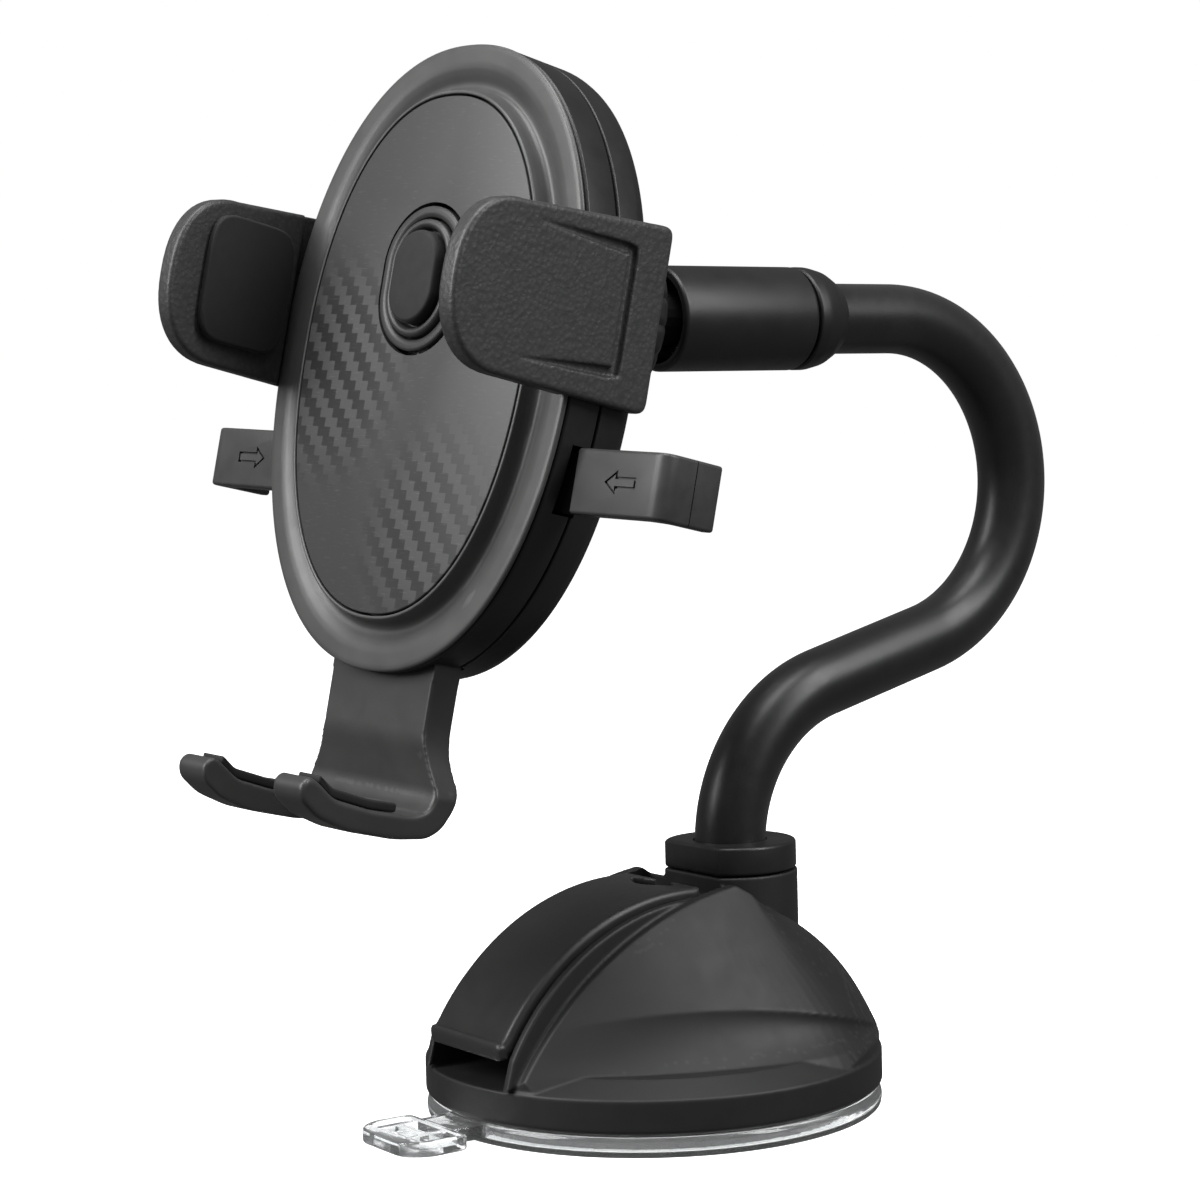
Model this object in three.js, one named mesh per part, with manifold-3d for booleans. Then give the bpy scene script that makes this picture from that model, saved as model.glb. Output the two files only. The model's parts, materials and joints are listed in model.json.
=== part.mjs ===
// Car phone mount: a suction base with a lock lever, a bendable gooseneck, a ball joint and a
// spring-loaded cradle with two clamp arms, two release levers, a trigger and a pull-out foot.
//
// Units are millimetres. +Z is up, the lock lever's lip faces -Y, and the origin is the centre of
// the suction cup on the surface that the mount stands on. The cradle is modelled in its own
// frame: x to its right, y up along its long axis, z out of its face.

import * as THREE from 'three';
import { mergeVertices } from 'three/addons/utils/BufferGeometryUtils.js';
import Module from 'manifold-3d';

const wasm = await Module();
wasm.setup();

const DEG = Math.PI / 180;
const GAP = 0.3;                       // clearance between neighbouring pieces

// ---- Driving dimensions: suction base -------------------------------------------------------
const FLANGE_RADIUS = 39;
const FLANGE_BOTTOM = 3.6;
const FLANGE_TOP = 9.2;
const LEDGE_TOP = 11.8;                // where the flange's sloping ledge meets the dome
const LEDGE_RADIUS = 36.2;
const DOME_TOP = 37.9;
const SPINE_HALF_WIDTH = 14.6;         // the two arches beside the lever, outer faces
const DOME_SIDE_SLOPE = 0.835;         // growth of the dome's half width per mm of drop
const CREASE = { y: -10, top: 20.6, fall: 0.005 };
const WIDEST_Y = 10;                    // where along y the dome is widest
const SCOOP = { slope: 0.62, depth: 0.9 };
const RIM_ARCH = { y: 15.1, z: -22.7, radius: 61.1 };   // front edge of the housing's two arches
const LEVER_ARCH = { y: 0, z: -5.2, radius: 43 };        // the lever's more strongly curved top
const REAR_ARCH = { y: -4, z: -8, radius: 45.2 };
const WALL = 2.2;
const SLOT_HALF_WIDTH = 11.4;
const SLOT_BACK = 8.6;
const LEVER_HALF_WIDTH = 10.8;
const LEVER_THICKNESS = 3.0;
const LEVER_PIVOT = { y: 2, z: 30.5 };
const LEVER_PIN_RADIUS = 1.6;
const CAM_RADIUS = 5.4;
const CUP_RADIUS = 38.9;
const CUP_LIFT = 1.6;                  // how far the lever pulls the cup's centre up
const STEM_RADIUS = 4;
const PLATE_TOP = 6;                   // upper face of the plate that closes the base
const POST = { y: 17.5, radius: 11.6, foot: 24, capFoot: 38.4, top: 43.3 };

// ---- Driving dimensions: gooseneck ----------------------------------------------------------
const NECK_RADIUS = 6.2;
const CORE_RADIUS = 4.4;
const NECK_START = { y: 17.5, z: 42 };
const LOWER_BEND = { radius: 28, turn: 75.5 * DEG };
const NECK_STRAIGHT = 25.2;
const UPPER_BEND = { radius: 29.5, turn: 165.5 * DEG };
const NECK_END_RUN = 32.6;             // straight stretch that ends inside the joint sleeve
const NECK_JOINTS = [14, 50, 88, 126]; // distances along the neck where it bends
const NECK_ROOT = 11;                  // length of the neck hidden inside the post

// ---- Driving dimensions: ball joint ---------------------------------------------------------
const BALL = { y: -14, radius: 10 };
const SLEEVE = { radius: 9, front: 4.3, back: 33 };
const BALL_STEM_RADIUS = 4.6;
const PAN = 9.6 * DEG;
const TILT = 11.8 * DEG;
const SPIN = 3 * DEG;

// ---- Driving dimensions: cradle, in its own frame -------------------------------------------
const BODY = { a: 35.5, b: 50.4, power: 2.2 };
const BODY_BACK = -14.5;
const SEAM = -7.3;
const PLATE = { a: 26.6, b: 42.2, front: 2.2 };
const SHELL_WALL = 2;
const BALL_AXIS_Y = 12.45;             // ball joint's axis above the body's centre
const BALL_BEHIND = 29.5;              // ball centre behind the body's front rim
const TRIGGER = { y: 12, width: 19.5, height: 24, travel: 2.4 };
const FRONT_LAYER = [-5.2, -3.6];      // right arm's slider
const REAR_LAYER = [-7.1, -5.5];       // left arm's slider
const ARM_BAR = [3, 15];               // height of the sliders' bars
const ARM_TRAVEL = 16.5;
const WING = { outer: 37.5, lean: 0.06, thickness: 3.5, back: -14, tip: 27, top: 22.8, bottom: -5.6 };
const LEVER = { reach: 55.3, low: -22.6, high: -12.6, front: -3.5, back: -15.5 };
const PINION = { y: -5, teeth: 12, module: 1 };
const FOOT = { halfWidth: 12.6, top: -34, hookY: -74.5, front: -2.6, back: -8.2, tip: 21.5 };
const HOOK = { centre: 12.2, halfWidth: 3.5, gapFrom: 0.6 };

// ---- Materials ------------------------------------------------------------------------------
const MATERIALS = {
  blackAbs: new THREE.MeshStandardMaterial({ color: 0x2b2b2c, roughness: 0.5, metalness: 0 }),
  greyAbs: new THREE.MeshStandardMaterial({ color: 0x434343, roughness: 0.55, metalness: 0 }),
  carbonFilm: new THREE.MeshStandardMaterial({ color: 0x3c3c3b, roughness: 0.45, metalness: 0.1 }),
  rubber: new THREE.MeshStandardMaterial({ color: 0x1a1a1a, roughness: 0.75, metalness: 0 }),
  clearTpu: new THREE.MeshStandardMaterial({
    color: 0xdfe3e4, roughness: 0.15, metalness: 0, transparent: true, opacity: 0.5,
  }),
  nylon: new THREE.MeshStandardMaterial({ color: 0xd9d6cc, roughness: 0.5, metalness: 0 }),
  steel: new THREE.MeshStandardMaterial({ color: 0xb4b6b8, roughness: 0.35, metalness: 1 }),
};

// ---- Solid helpers --------------------------------------------------------------------------

function signedVolume(positions, triangles) {
  const a = new THREE.Vector3();
  const b = new THREE.Vector3();
  const c = new THREE.Vector3();
  let volume = 0;
  for (let i = 0; i < triangles.length; i += 3) {
    a.fromArray(positions, triangles[i] * 3);
    b.fromArray(positions, triangles[i + 1] * 3);
    c.fromArray(positions, triangles[i + 2] * 3);
    volume += a.dot(b.cross(c)) / 6;
  }
  return volume;
}

// Turns a closed three.js geometry into a solid, with its faces pointing outward.
function solid(geometry) {
  const plain = geometry.clone();
  plain.deleteAttribute('normal');
  plain.deleteAttribute('uv');
  const welded = mergeVertices(plain, 1e-4);
  const vertProperties = new Float32Array(welded.attributes.position.array);
  const triVerts = new Uint32Array(welded.index.array);
  if (signedVolume(vertProperties, triVerts) < 0) {
    for (let i = 0; i < triVerts.length; i += 3) {
      const first = triVerts[i];
      triVerts[i] = triVerts[i + 1];
      triVerts[i + 1] = first;
    }
  }
  return new wasm.Manifold(new wasm.Mesh({ numProp: 3, vertProperties, triVerts }));
}

function geometryOf(body) {
  const mesh = body.getMesh();
  const geometry = new THREE.BufferGeometry();
  geometry.setAttribute('position', new THREE.BufferAttribute(mesh.vertProperties.slice(), 3));
  geometry.setIndex(new THREE.BufferAttribute(mesh.triVerts.slice(), 1));
  geometry.computeVertexNormals();
  return geometry;
}

function joined(...bodies) {
  return bodies.reduce((sum, body) => sum.add(body));
}

function box(x0, x1, y0, y1, z0, z1) {
  const geometry = new THREE.BoxGeometry(x1 - x0, y1 - y0, z1 - z0);
  geometry.translate((x0 + x1) / 2, (y0 + y1) / 2, (z0 + z1) / 2);
  return solid(geometry);
}

function ball(radius, x, y, z, segments = 20) {
  const geometry = new THREE.SphereGeometry(radius, segments, segments / 2);
  geometry.rotateX(90 * DEG);
  geometry.translate(x, y, z);
  return solid(geometry);
}

// A cylinder of the given radius from one point to another.
function rod(radius, from, to, segments = 20) {
  const start = new THREE.Vector3(...from);
  const end = new THREE.Vector3(...to);
  const along = end.clone().sub(start);
  const geometry = new THREE.CylinderGeometry(radius, radius, along.length(), segments);
  const turn = new THREE.Quaternion().setFromUnitVectors(
    new THREE.Vector3(0, 1, 0), along.clone().normalize());
  geometry.applyQuaternion(turn);
  const middle = start.add(end).multiplyScalar(0.5);
  geometry.translate(middle.x, middle.y, middle.z);
  return solid(geometry);
}

// A solid of revolution about Z. The profile is a closed list of [radius, z] points.
function turned(profile, segments = 32) {
  const points = profile.map(([radius, z]) => new THREE.Vector2(radius, z));
  const onAxis = profile[0][0] === 0 && profile[profile.length - 1][0] === 0;
  if (!onAxis) points.push(points[0].clone());
  const geometry = new THREE.LatheGeometry(points, segments);
  geometry.rotateX(90 * DEG);
  return solid(geometry);
}

// A prism: an outline of [x, y] points carried from z0 to z1.
function prism(outline, z0, z1) {
  const shape = new THREE.Shape(outline.map(([x, y]) => new THREE.Vector2(x, y)));
  const geometry = new THREE.ExtrudeGeometry(shape, { depth: z1 - z0, bevelEnabled: false });
  geometry.translate(0, 0, z0);
  return solid(geometry);
}

// A closed skin through a list of rings with equal numbers of [x, y, z] points, capped flat.
function loft(rings) {
  const count = rings[0].length;
  const positions = rings.flat(2);
  const index = [];
  for (let r = 0; r + 1 < rings.length; r += 1) {
    for (let i = 0; i < count; i += 1) {
      const j = (i + 1) % count;
      const low = r * count;
      const high = low + count;
      index.push(low + i, low + j, high + j, low + i, high + j, high + i);
    }
  }
  const last = (rings.length - 1) * count;
  for (let i = 1; i + 1 < count; i += 1) {
    index.push(0, i + 1, i, last, last + i, last + i + 1);
  }
  const geometry = new THREE.BufferGeometry();
  geometry.setAttribute('position', new THREE.Float32BufferAttribute(positions, 3));
  geometry.setIndex(index);
  return solid(geometry);
}

function withTurn(power, angle) {
  const cos = Math.cos(angle);
  const sin = Math.sin(angle);
  return [
    Math.sign(cos) * Math.abs(cos) ** (2 / power),
    Math.sign(sin) * Math.abs(sin) ** (2 / power),
  ];
}

// The cradle's rounded oval, as [x, y] points.
function oval(a, b, count = 40) {
  const outline = [];
  for (let i = 0; i < count; i += 1) {
    const [x, y] = withTurn(BODY.power, (i / count) * 2 * Math.PI);
    outline.push([a * x, b * y]);
  }
  return outline;
}

function ovalRing(inset, z) {
  return oval(BODY.a - inset, BODY.b - inset).map(([x, y]) => [x, y, z]);
}

// An outline with two straight sides and round ends, its long side along y.
function stadium(width, height, y = 0, count = 8) {
  const radius = width / 2;
  const outline = [];
  for (const end of [1, -1]) {
    for (let i = 0; i <= count; i += 1) {
      const angle = (i / count) * Math.PI + (end > 0 ? 0 : Math.PI);
      outline.push([
        radius * Math.cos(angle),
        y + end * (height / 2 - radius) + radius * Math.sin(angle),
      ]);
    }
  }
  return outline;
}

// A helical wire about Z, from z0 to z1.
function coil(radius, wire, z0, z1, turns) {
  class Helix extends THREE.Curve {
    getPoint(t, target = new THREE.Vector3()) {
      const angle = t * turns * 2 * Math.PI;
      return target.set(radius * Math.cos(angle), radius * Math.sin(angle), z0 + (z1 - z0) * t);
    }
  }
  const section = new THREE.Shape();
  section.absarc(0, 0, wire, 0, 2 * Math.PI);
  return solid(new THREE.ExtrudeGeometry(section, {
    steps: Math.round(turns * 9), curveSegments: 2, extrudePath: new Helix(), bevelEnabled: false,
  }));
}

function moved(body, matrix) {
  const geometry = geometryOf(body);
  geometry.applyMatrix4(matrix);
  return solid(geometry);
}

// ---- Gooseneck centreline -------------------------------------------------------------------

const LOWER_LENGTH = LOWER_BEND.radius * LOWER_BEND.turn;
const UPPER_LENGTH = UPPER_BEND.radius * UPPER_BEND.turn;
const NECK_LENGTH = LOWER_LENGTH + NECK_STRAIGHT + UPPER_LENGTH + NECK_END_RUN;

// The point on the neck's centreline at a distance along it, in the plane x = 0. The neck rises
// from the post, leans back through the lower bend, and comes forward again over the upper bend.
function neckPoint(distance) {
  if (distance <= 0) return new THREE.Vector3(0, NECK_START.y, NECK_START.z + distance);
  const heading = 90 * DEG - LOWER_BEND.turn;
  const lower = Math.min(distance, LOWER_LENGTH) / LOWER_BEND.radius;
  let y = NECK_START.y + LOWER_BEND.radius * (1 - Math.cos(lower));
  let z = NECK_START.z + LOWER_BEND.radius * Math.sin(lower);
  const straight = Math.min(Math.max(distance - LOWER_LENGTH, 0), NECK_STRAIGHT);
  y += straight * Math.cos(heading);
  z += straight * Math.sin(heading);
  const upperStart = LOWER_LENGTH + NECK_STRAIGHT;
  const upper = Math.min(Math.max(distance - upperStart, 0), UPPER_LENGTH) / UPPER_BEND.radius;
  y += UPPER_BEND.radius * (Math.sin(heading + upper) - Math.sin(heading));
  z += UPPER_BEND.radius * (Math.cos(heading) - Math.cos(heading + upper));
  const end = Math.max(distance - upperStart - UPPER_LENGTH, 0);
  return new THREE.Vector3(0, y - end, z);
}

const BALL_HEIGHT = neckPoint(NECK_LENGTH).z;

class NeckRun extends THREE.Curve {
  constructor(from, to) {
    super();
    this.from = from;
    this.to = to;
  }

  getPoint(t) {
    return neckPoint(this.from + (this.to - this.from) * t);
  }
}

function neckTube(radius, from, to) {
  const section = new THREE.Shape();
  section.absarc(0, 0, radius, 0, 2 * Math.PI);
  return solid(new THREE.ExtrudeGeometry(section, {
    steps: Math.max(2, Math.ceil((to - from) / 6)),
    curveSegments: 7,
    extrudePath: new NeckRun(from, to),
    bevelEnabled: false,
  }));
}

function neckBall(radius, distance) {
  const centre = neckPoint(distance);
  return ball(radius, centre.x, centre.y, centre.z, 16);
}

// One rigid length of the neck between two bends. Its upper end is a ball and its lower end a
// cup, so that the next length can lean any way about the bend's centre.
function neckLength(from, to) {
  const isFirst = from < 0;
  const isLast = to >= NECK_LENGTH;
  let sleeve = neckTube(NECK_RADIUS, from, to);
  let core = neckTube(CORE_RADIUS, from, to);
  if (!isLast) {
    sleeve = sleeve.add(neckBall(NECK_RADIUS, to));
    core = core.add(neckBall(NECK_RADIUS, to).intersect(neckTube(CORE_RADIUS, to - 1, to + 8)));
  }
  const boreFrom = isFirst ? from - 1 : from - 8;
  const boreTo = isLast ? to + 1 : to + 8;
  sleeve = sleeve.subtract(neckTube(CORE_RADIUS + GAP, boreFrom, boreTo));
  if (!isFirst) {
    sleeve = sleeve.subtract(neckBall(NECK_RADIUS + GAP, from));
    core = core.subtract(neckBall(NECK_RADIUS + GAP, from));
  }
  return { sleeve, core };
}

// ---- Suction base ---------------------------------------------------------------------------

function frontArch(z) {
  return RIM_ARCH.y - Math.sqrt(RIM_ARCH.radius ** 2 - (z - RIM_ARCH.z) ** 2);
}

function rearArch(z) {
  const shoulder = 33.3;
  const apex = 7.7;
  const reach = (level) => REAR_ARCH.y + Math.sqrt(REAR_ARCH.radius ** 2 - (level - REAR_ARCH.z) ** 2);
  if (z <= shoulder) return reach(z);
  return THREE.MathUtils.mapLinear(z, shoulder, DOME_TOP, reach(shoulder), apex);
}

// How far the dome bulges beyond its arches at one height and place along y: a leaning face
// above a curved crease, and a steeper, slightly hollowed scoop below it.
function domeBulge(z, y) {
  const crease = CREASE.top - CREASE.fall * (y - CREASE.y) ** 2;
  const drop = crease - z;
  if (drop <= 0) return DOME_SIDE_SLOPE * (DOME_TOP - z);
  const share = Math.min(drop / Math.max(crease - LEDGE_TOP, 0.5), 1);
  const hollow = SCOOP.depth * 4 * share * (1 - share);
  return DOME_SIDE_SLOPE * (DOME_TOP - crease) + SCOOP.slope * drop - hollow;
}

// The dome's outline at one height: straight across the two arches, bulging at the sides.
function domeRing(z, inset) {
  const front = Math.max(frontArch(z), -LEDGE_RADIUS - 1) + inset;
  const rear = Math.min(rearArch(z), LEDGE_RADIUS + 1) - inset;
  const halfLength = (rear - front) / 2;
  const middle = (rear + front) / 2;
  const spine = SPINE_HALF_WIDTH - inset;
  const ring = [];
  for (const side of [1, -1]) {
    for (let i = 0; i <= 10; i += 1) {
      const y = middle - side * halfLength * Math.cos((i / 10) * Math.PI);
      const end = y < WIDEST_Y ? front : rear;
      const t = (y - WIDEST_Y) / (end - WIDEST_Y);
      const bulge = Math.max(domeBulge(z, y), 0.02) * Math.max(1 - t * t, 0);
      ring.push([side * (spine + bulge), y, z]);
    }
  }
  return ring;
}

function dome(inset, bottom) {
  const top = DOME_TOP - inset;
  const between = [LEDGE_TOP, 15, 18, 20.6, 24, 28, 31, 33.3, 35.8, 37].filter((z) => z > bottom && z < top - 0.4);
  return loft([bottom, ...between, top].map((z) => domeRing(z, inset)));
}

function baseHousing() {
  const flange = turned([
    [0, FLANGE_BOTTOM], [FLANGE_RADIUS - 0.6, FLANGE_BOTTOM], [FLANGE_RADIUS, FLANGE_BOTTOM + 0.6],
    [FLANGE_RADIUS, FLANGE_TOP], [LEDGE_RADIUS - 1.4, LEDGE_TOP], [0, LEDGE_TOP],
  ], 48);
  const disc = rod(FLANGE_RADIUS - 0.6, [0, 0, FLANGE_TOP], [0, 0, 50], 48);
  const post = rod(POST.radius, [0, POST.y, POST.foot], [0, POST.y, POST.capFoot - GAP], 40);
  let housing = dome(0, FLANGE_TOP).intersect(disc).add(flange);
  housing = housing.add(post);
  const postFlat = box(-12, 12, POST.y - POST.radius - 1, SLOT_BACK + 0.4, DOME_TOP - 4, 50);
  housing = housing.subtract(postFlat);
  const lowerBore = rod(FLANGE_RADIUS - WALL, [0, 0, 0], [0, 0, PLATE_TOP + GAP], 48);
  housing = housing.subtract(lowerBore);
  const bosses = joined(...BASE_SCREWS.map(([x, y]) => rod(3, [x, y, 0], [x, y, 30], 16)));
  for (const side of [1, -1]) {
    const inner = side * (SLOT_HALF_WIDTH + WALL);
    const keep = box(Math.min(inner, side * 60), Math.max(inner, side * 60), -31, 31, 0, 30);
    housing = housing.subtract(dome(WALL, 5).intersect(keep).subtract(bosses));
  }
  housing = housing.subtract(box(-SLOT_HALF_WIDTH, SLOT_HALF_WIDTH, -60, SLOT_BACK, FLANGE_TOP, 60));
  housing = housing.subtract(rod(STEM_RADIUS + GAP, [0, 0, 0], [0, 0, 20]));
  housing = housing.subtract(rod(NECK_RADIUS + GAP, [0, POST.y, NECK_START.z - NECK_ROOT - GAP],
    [0, POST.y, 60]));
  for (const [x, y] of BASE_SCREWS) {
    housing = housing.subtract(rod(1.4, [x, y, 0], [x, y, 13.4], 12));
  }
  return housing.subtract(leverPinBore(LEVER_PIN_RADIUS + GAP, SLOT_HALF_WIDTH + WALL));
}

const BASE_SCREWS = [[20, 20], [-20, 20], [21, -17], [-21, -17]];

function leverPinBore(radius, halfLength) {
  return rod(radius, [-halfLength, LEVER_PIVOT.y, LEVER_PIVOT.z],
    [halfLength, LEVER_PIVOT.y, LEVER_PIVOT.z], 20);
}

function basePlate() {
  const reach = FLANGE_RADIUS - WALL - GAP;
  let plate = rod(reach, [0, 0, PLATE_TOP - 1.8], [0, 0, PLATE_TOP], 48)
    .subtract(rod(STEM_RADIUS + GAP, [0, 0, 0], [0, 0, 10]));
  for (const [x, y] of BASE_SCREWS) {
    plate = plate.subtract(rod(1.4, [x, y, 0], [x, y, 10], 12)).subtract(rod(2.7, [x, y, 0], [x, y, 5.1], 16));
  }
  return plate;
}

function baseScrew() {
  return turned([[0, 4.3], [2.3, 4.3], [2.3, 4.8], [1.1, 4.8], [1.1, 13], [0, 13]], 12);
}

// The lever's top follows the arches; its front lip hangs over the finger gap.
function lockLever() {
  const outer = LEVER_ARCH.radius;
  const inner = outer - LEVER_THICKNESS;
  const startAngle = 147.5 * DEG;
  const endAngle = 85.8 * DEG;
  const outline = [];
  const steps = 16;
  for (let i = 0; i <= steps; i += 1) {
    const angle = THREE.MathUtils.lerp(startAngle, endAngle, i / steps);
    outline.push([LEVER_ARCH.y + outer * Math.cos(angle), LEVER_ARCH.z + outer * Math.sin(angle)]);
  }
  for (let i = steps; i >= 0; i -= 1) {
    const angle = THREE.MathUtils.lerp(startAngle, endAngle, i / steps);
    outline.push([LEVER_ARCH.y + inner * Math.cos(angle), LEVER_ARCH.z + inner * Math.sin(angle)]);
  }
  outline.push([-35.6, 14], [-37.9, 14], [-38.2, 16.2], [-37.6, 17.3]);
  const upright = new THREE.Matrix4().makeBasis(
    new THREE.Vector3(0, 1, 0), new THREE.Vector3(0, 0, 1), new THREE.Vector3(1, 0, 0));
  let lever = moved(prism(outline, -LEVER_HALF_WIDTH, LEVER_HALF_WIDTH), upright);
  for (const side of [1, -1]) {
    const ear = [[LEVER_PIVOT.y - 3.4, LEVER_PIVOT.z - 2], [LEVER_PIVOT.y + 3.4, LEVER_PIVOT.z - 2],
      [LEVER_PIVOT.y + 3.4, 36], [LEVER_PIVOT.y - 3.4, 36]];
    const inside = side > 0 ? LEVER_HALF_WIDTH - 1.6 : -LEVER_HALF_WIDTH;
    lever = lever.add(moved(prism(ear, inside, inside + 1.6), upright));
  }
  lever = lever.subtract(leverPinBore(LEVER_PIN_RADIUS + GAP, 20));
  lever = lever.subtract(leverPinBore(CAM_RADIUS + GAP, 6.9));
  const almond = new THREE.SphereGeometry(1, 20, 12);
  almond.scale(5.2, 2.2, 6);
  almond.translate(0, LEVER_PIVOT.y - 1.6, DOME_TOP);
  return lever.subtract(solid(almond));
}

// The ribbed cam drum that turns with the lever, seen through the lever's window.
function leverCam() {
  const teeth = 18;
  const outline = [];
  for (let i = 0; i < teeth * 2; i += 1) {
    const radius = i % 2 ? CAM_RADIUS : CAM_RADIUS - 0.5;
    const angle = (i / (teeth * 2)) * 2 * Math.PI;
    outline.push([LEVER_PIVOT.y + radius * Math.cos(angle), LEVER_PIVOT.z + radius * Math.sin(angle)]);
  }
  const upright = new THREE.Matrix4().makeBasis(
    new THREE.Vector3(0, 1, 0), new THREE.Vector3(0, 0, 1), new THREE.Vector3(1, 0, 0));
  return moved(prism(outline, -6.6, 6.6), upright).subtract(leverPinBore(LEVER_PIN_RADIUS + GAP, 20));
}

// The stem that pulls the cup's centre up. Its open fork straddles the cam and the lever's pin.
function cupStem() {
  const collar = rod(7.4, [0, 0, 14], [0, 0, 16]);
  const disc = rod(11, [0, 0, 2.9], [0, 0, 3.9]);
  let stem = joined(rod(STEM_RADIUS, [0, 0, 3.4], [0, 0, 19]), collar, disc);
  const prong = 3.3;
  stem = stem.add(box(-9.1, 9.1, LEVER_PIVOT.y - prong, LEVER_PIVOT.y + prong, 17, 20));
  for (const inside of [6.9, -9.1]) {
    stem = stem.add(box(inside, inside + 2.2, LEVER_PIVOT.y - prong, LEVER_PIVOT.y + prong, 19, 33.4));
  }
  const reach = LEVER_PIN_RADIUS + GAP;
  const slot = box(-20, 20, LEVER_PIVOT.y - reach, LEVER_PIVOT.y + reach, LEVER_PIVOT.z, 40);
  return stem.subtract(leverPinBore(reach, 20)).subtract(slot);
}

function suctionCup() {
  const disc = turned([
    [0, CUP_LIFT], [20, 1.1], [33, 0], [CUP_RADIUS - 0.4, 0], [CUP_RADIUS, 1], [CUP_RADIUS - 0.3, 2.4],
    [37.4, 3.2], [12, 3.2], [11.4, 2.6], [0, 2.6],
  ], 48);
  const neck = box(-5, 5, -43.5, -36, 0.6, 3.1);
  const tabOutline = [[-9, -42.6], [9, -42.6], [9.4, -51], [6, -54.4], [-6, -54.4], [-9.4, -51]];
  let tab = prism(tabOutline, 0.6, 2.8);
  for (const x of [-6.6, -0.1, 0.1, 6.6].filter((value, i) => i % 3 === 0)) {
    tab = tab.subtract(box(x - 1.6, x + 1.6, -51.6, -44.6, 1.4, 4));
  }
  tab = tab.subtract(box(-3.4, 3.4, -51.6, -48.9, 1.4, 4)).subtract(box(-3.4, 3.4, -47.5, -44.6, 1.4, 4));
  return joined(disc, neck, tab);
}

function neckCollar() {
  const outline = [];
  const radius = POST.radius - 0.25;
  const flat = Math.acos((POST.y - SLOT_BACK - 0.4) / radius);
  for (let i = 0; i <= 32; i += 1) {
    const angle = THREE.MathUtils.lerp(-90 * DEG + flat, 270 * DEG - flat, i / 32);
    outline.push([radius * Math.cos(angle), POST.y + radius * Math.sin(angle)]);
  }
  return prism(outline, POST.capFoot, POST.top).subtract(
    rod(NECK_RADIUS + GAP, [0, POST.y, 0], [0, POST.y, 60]));
}

// ---- Ball joint, sleeve side (in the mount's frame) -----------------------------------------

// Turns a profile about the sleeve's axis, which runs along +Y at the ball's height.
function turnedAlongY(profile, segments = 36) {
  const place = new THREE.Matrix4().makeBasis(
    new THREE.Vector3(-1, 0, 0), new THREE.Vector3(0, 0, 1), new THREE.Vector3(0, 1, 0));
  place.setPosition(0, 0, BALL_HEIGHT);
  return moved(turned(profile, segments), place);
}

const NECK_BORE_DEPTH = 12;

function jointSleeve() {
  const { radius, front, back } = SLEEVE;
  const neckMouth = back - NECK_BORE_DEPTH;
  return turnedAlongY([
    [7.6, front], [radius - 0.4, front], [radius, front + 0.4], [radius, back - 0.3], [radius - 0.3, back],
    [NECK_RADIUS + GAP, back], [NECK_RADIUS + GAP, neckMouth], [BALL_STEM_RADIUS + GAP, neckMouth],
    [BALL_STEM_RADIUS + GAP, front + 6], [7.6, front + 6],
  ], 32);
}

function neckEndNut() {
  const start = SLEEVE.back + GAP;
  return turnedAlongY([
    [NECK_RADIUS + GAP, start], [SLEEVE.radius - 0.3, start], [SLEEVE.radius, start + 0.3],
    [SLEEVE.radius, start + 2.4], [8.4, start + 5], [7.2, start + 7.3], [NECK_RADIUS + 0.6, start + 8.4],
    [NECK_RADIUS + GAP, start + 8.4],
  ], 32);
}

function ballStem() {
  const stem = rod(BALL_STEM_RADIUS, [0, BALL.y, BALL_HEIGHT], [0, SLEEVE.back - NECK_BORE_DEPTH - GAP, BALL_HEIGHT]);
  return stem.subtract(ball(BALL.radius + GAP, 0, BALL.y, BALL_HEIGHT, 24));
}

// ---- Ball joint, cradle side (in the cradle's frame) ----------------------------------------

const BALL_Z = -BALL_BEHIND;
const LINER_RADIUS = 12;

function onBallAxis(body) {
  return moved(body, new THREE.Matrix4().makeTranslation(0, BALL_AXIS_Y, 0));
}

// A slippery ring between the ball and its socket, round inside and out so that it can roll.
function ballLiner() {
  const zone = box(-20, 20, -20, 20, BALL_Z + 1.8, BALL_Z + 6);
  const shell = ball(LINER_RADIUS, 0, 0, BALL_Z, 24).intersect(zone);
  return onBallAxis(shell.subtract(ball(BALL.radius + GAP, 0, 0, BALL_Z, 24)));
}

function ballSocket() {
  const profile = [
    [0, BODY_BACK - GAP], [15.5, BODY_BACK - GAP], [15.5, BODY_BACK - 2.4], [14.2, BODY_BACK - 2.4],
    [14.2, BALL_Z - 0.5], [0, BALL_Z - 0.5],
  ];
  return onBallAxis(turned(profile).subtract(ball(LINER_RADIUS + GAP, 0, 0, BALL_Z, 24)));
}

function ballNut() {
  const front = BODY_BACK - 2.7;
  const back = BALL_Z - 6.3;
  const ring = turned([
    [14.5, front], [17.8, front], [18.4, front - 0.8], [18.4, back + 1.6], [17.8, back + 0.5], [16.6, back],
    [13, back], [9.3, BALL_Z - 3.6], [9.3, BALL_Z - 2.5], [14.5, BALL_Z - 2.5],
  ], 40);
  let nut = ring.subtract(ball(BALL.radius + GAP, 0, 0, BALL_Z, 24));
  const ribs = 16;
  for (let i = 0; i < ribs; i += 1) {
    const angle = (i / ribs) * 2 * Math.PI;
    const x = 18.9 * Math.cos(angle);
    const y = 18.9 * Math.sin(angle);
    nut = nut.subtract(rod(0.9, [x, y, front - 2], [x, y, back + 5], 6));
  }
  return onBallAxis(nut);
}

// ---- Cradle body ----------------------------------------------------------------------------

const REAR_SCREWS = [[18, 33], [-18, 33], [19, -31], [-19, -31]];
const SLOT_LAYERS = [SEAM, FRONT_LAYER[1] + GAP];

function triggerHole(extra) {
  return prism(stadium(TRIGGER.width + extra, TRIGGER.height + extra, TRIGGER.y), -20, 20);
}

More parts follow.
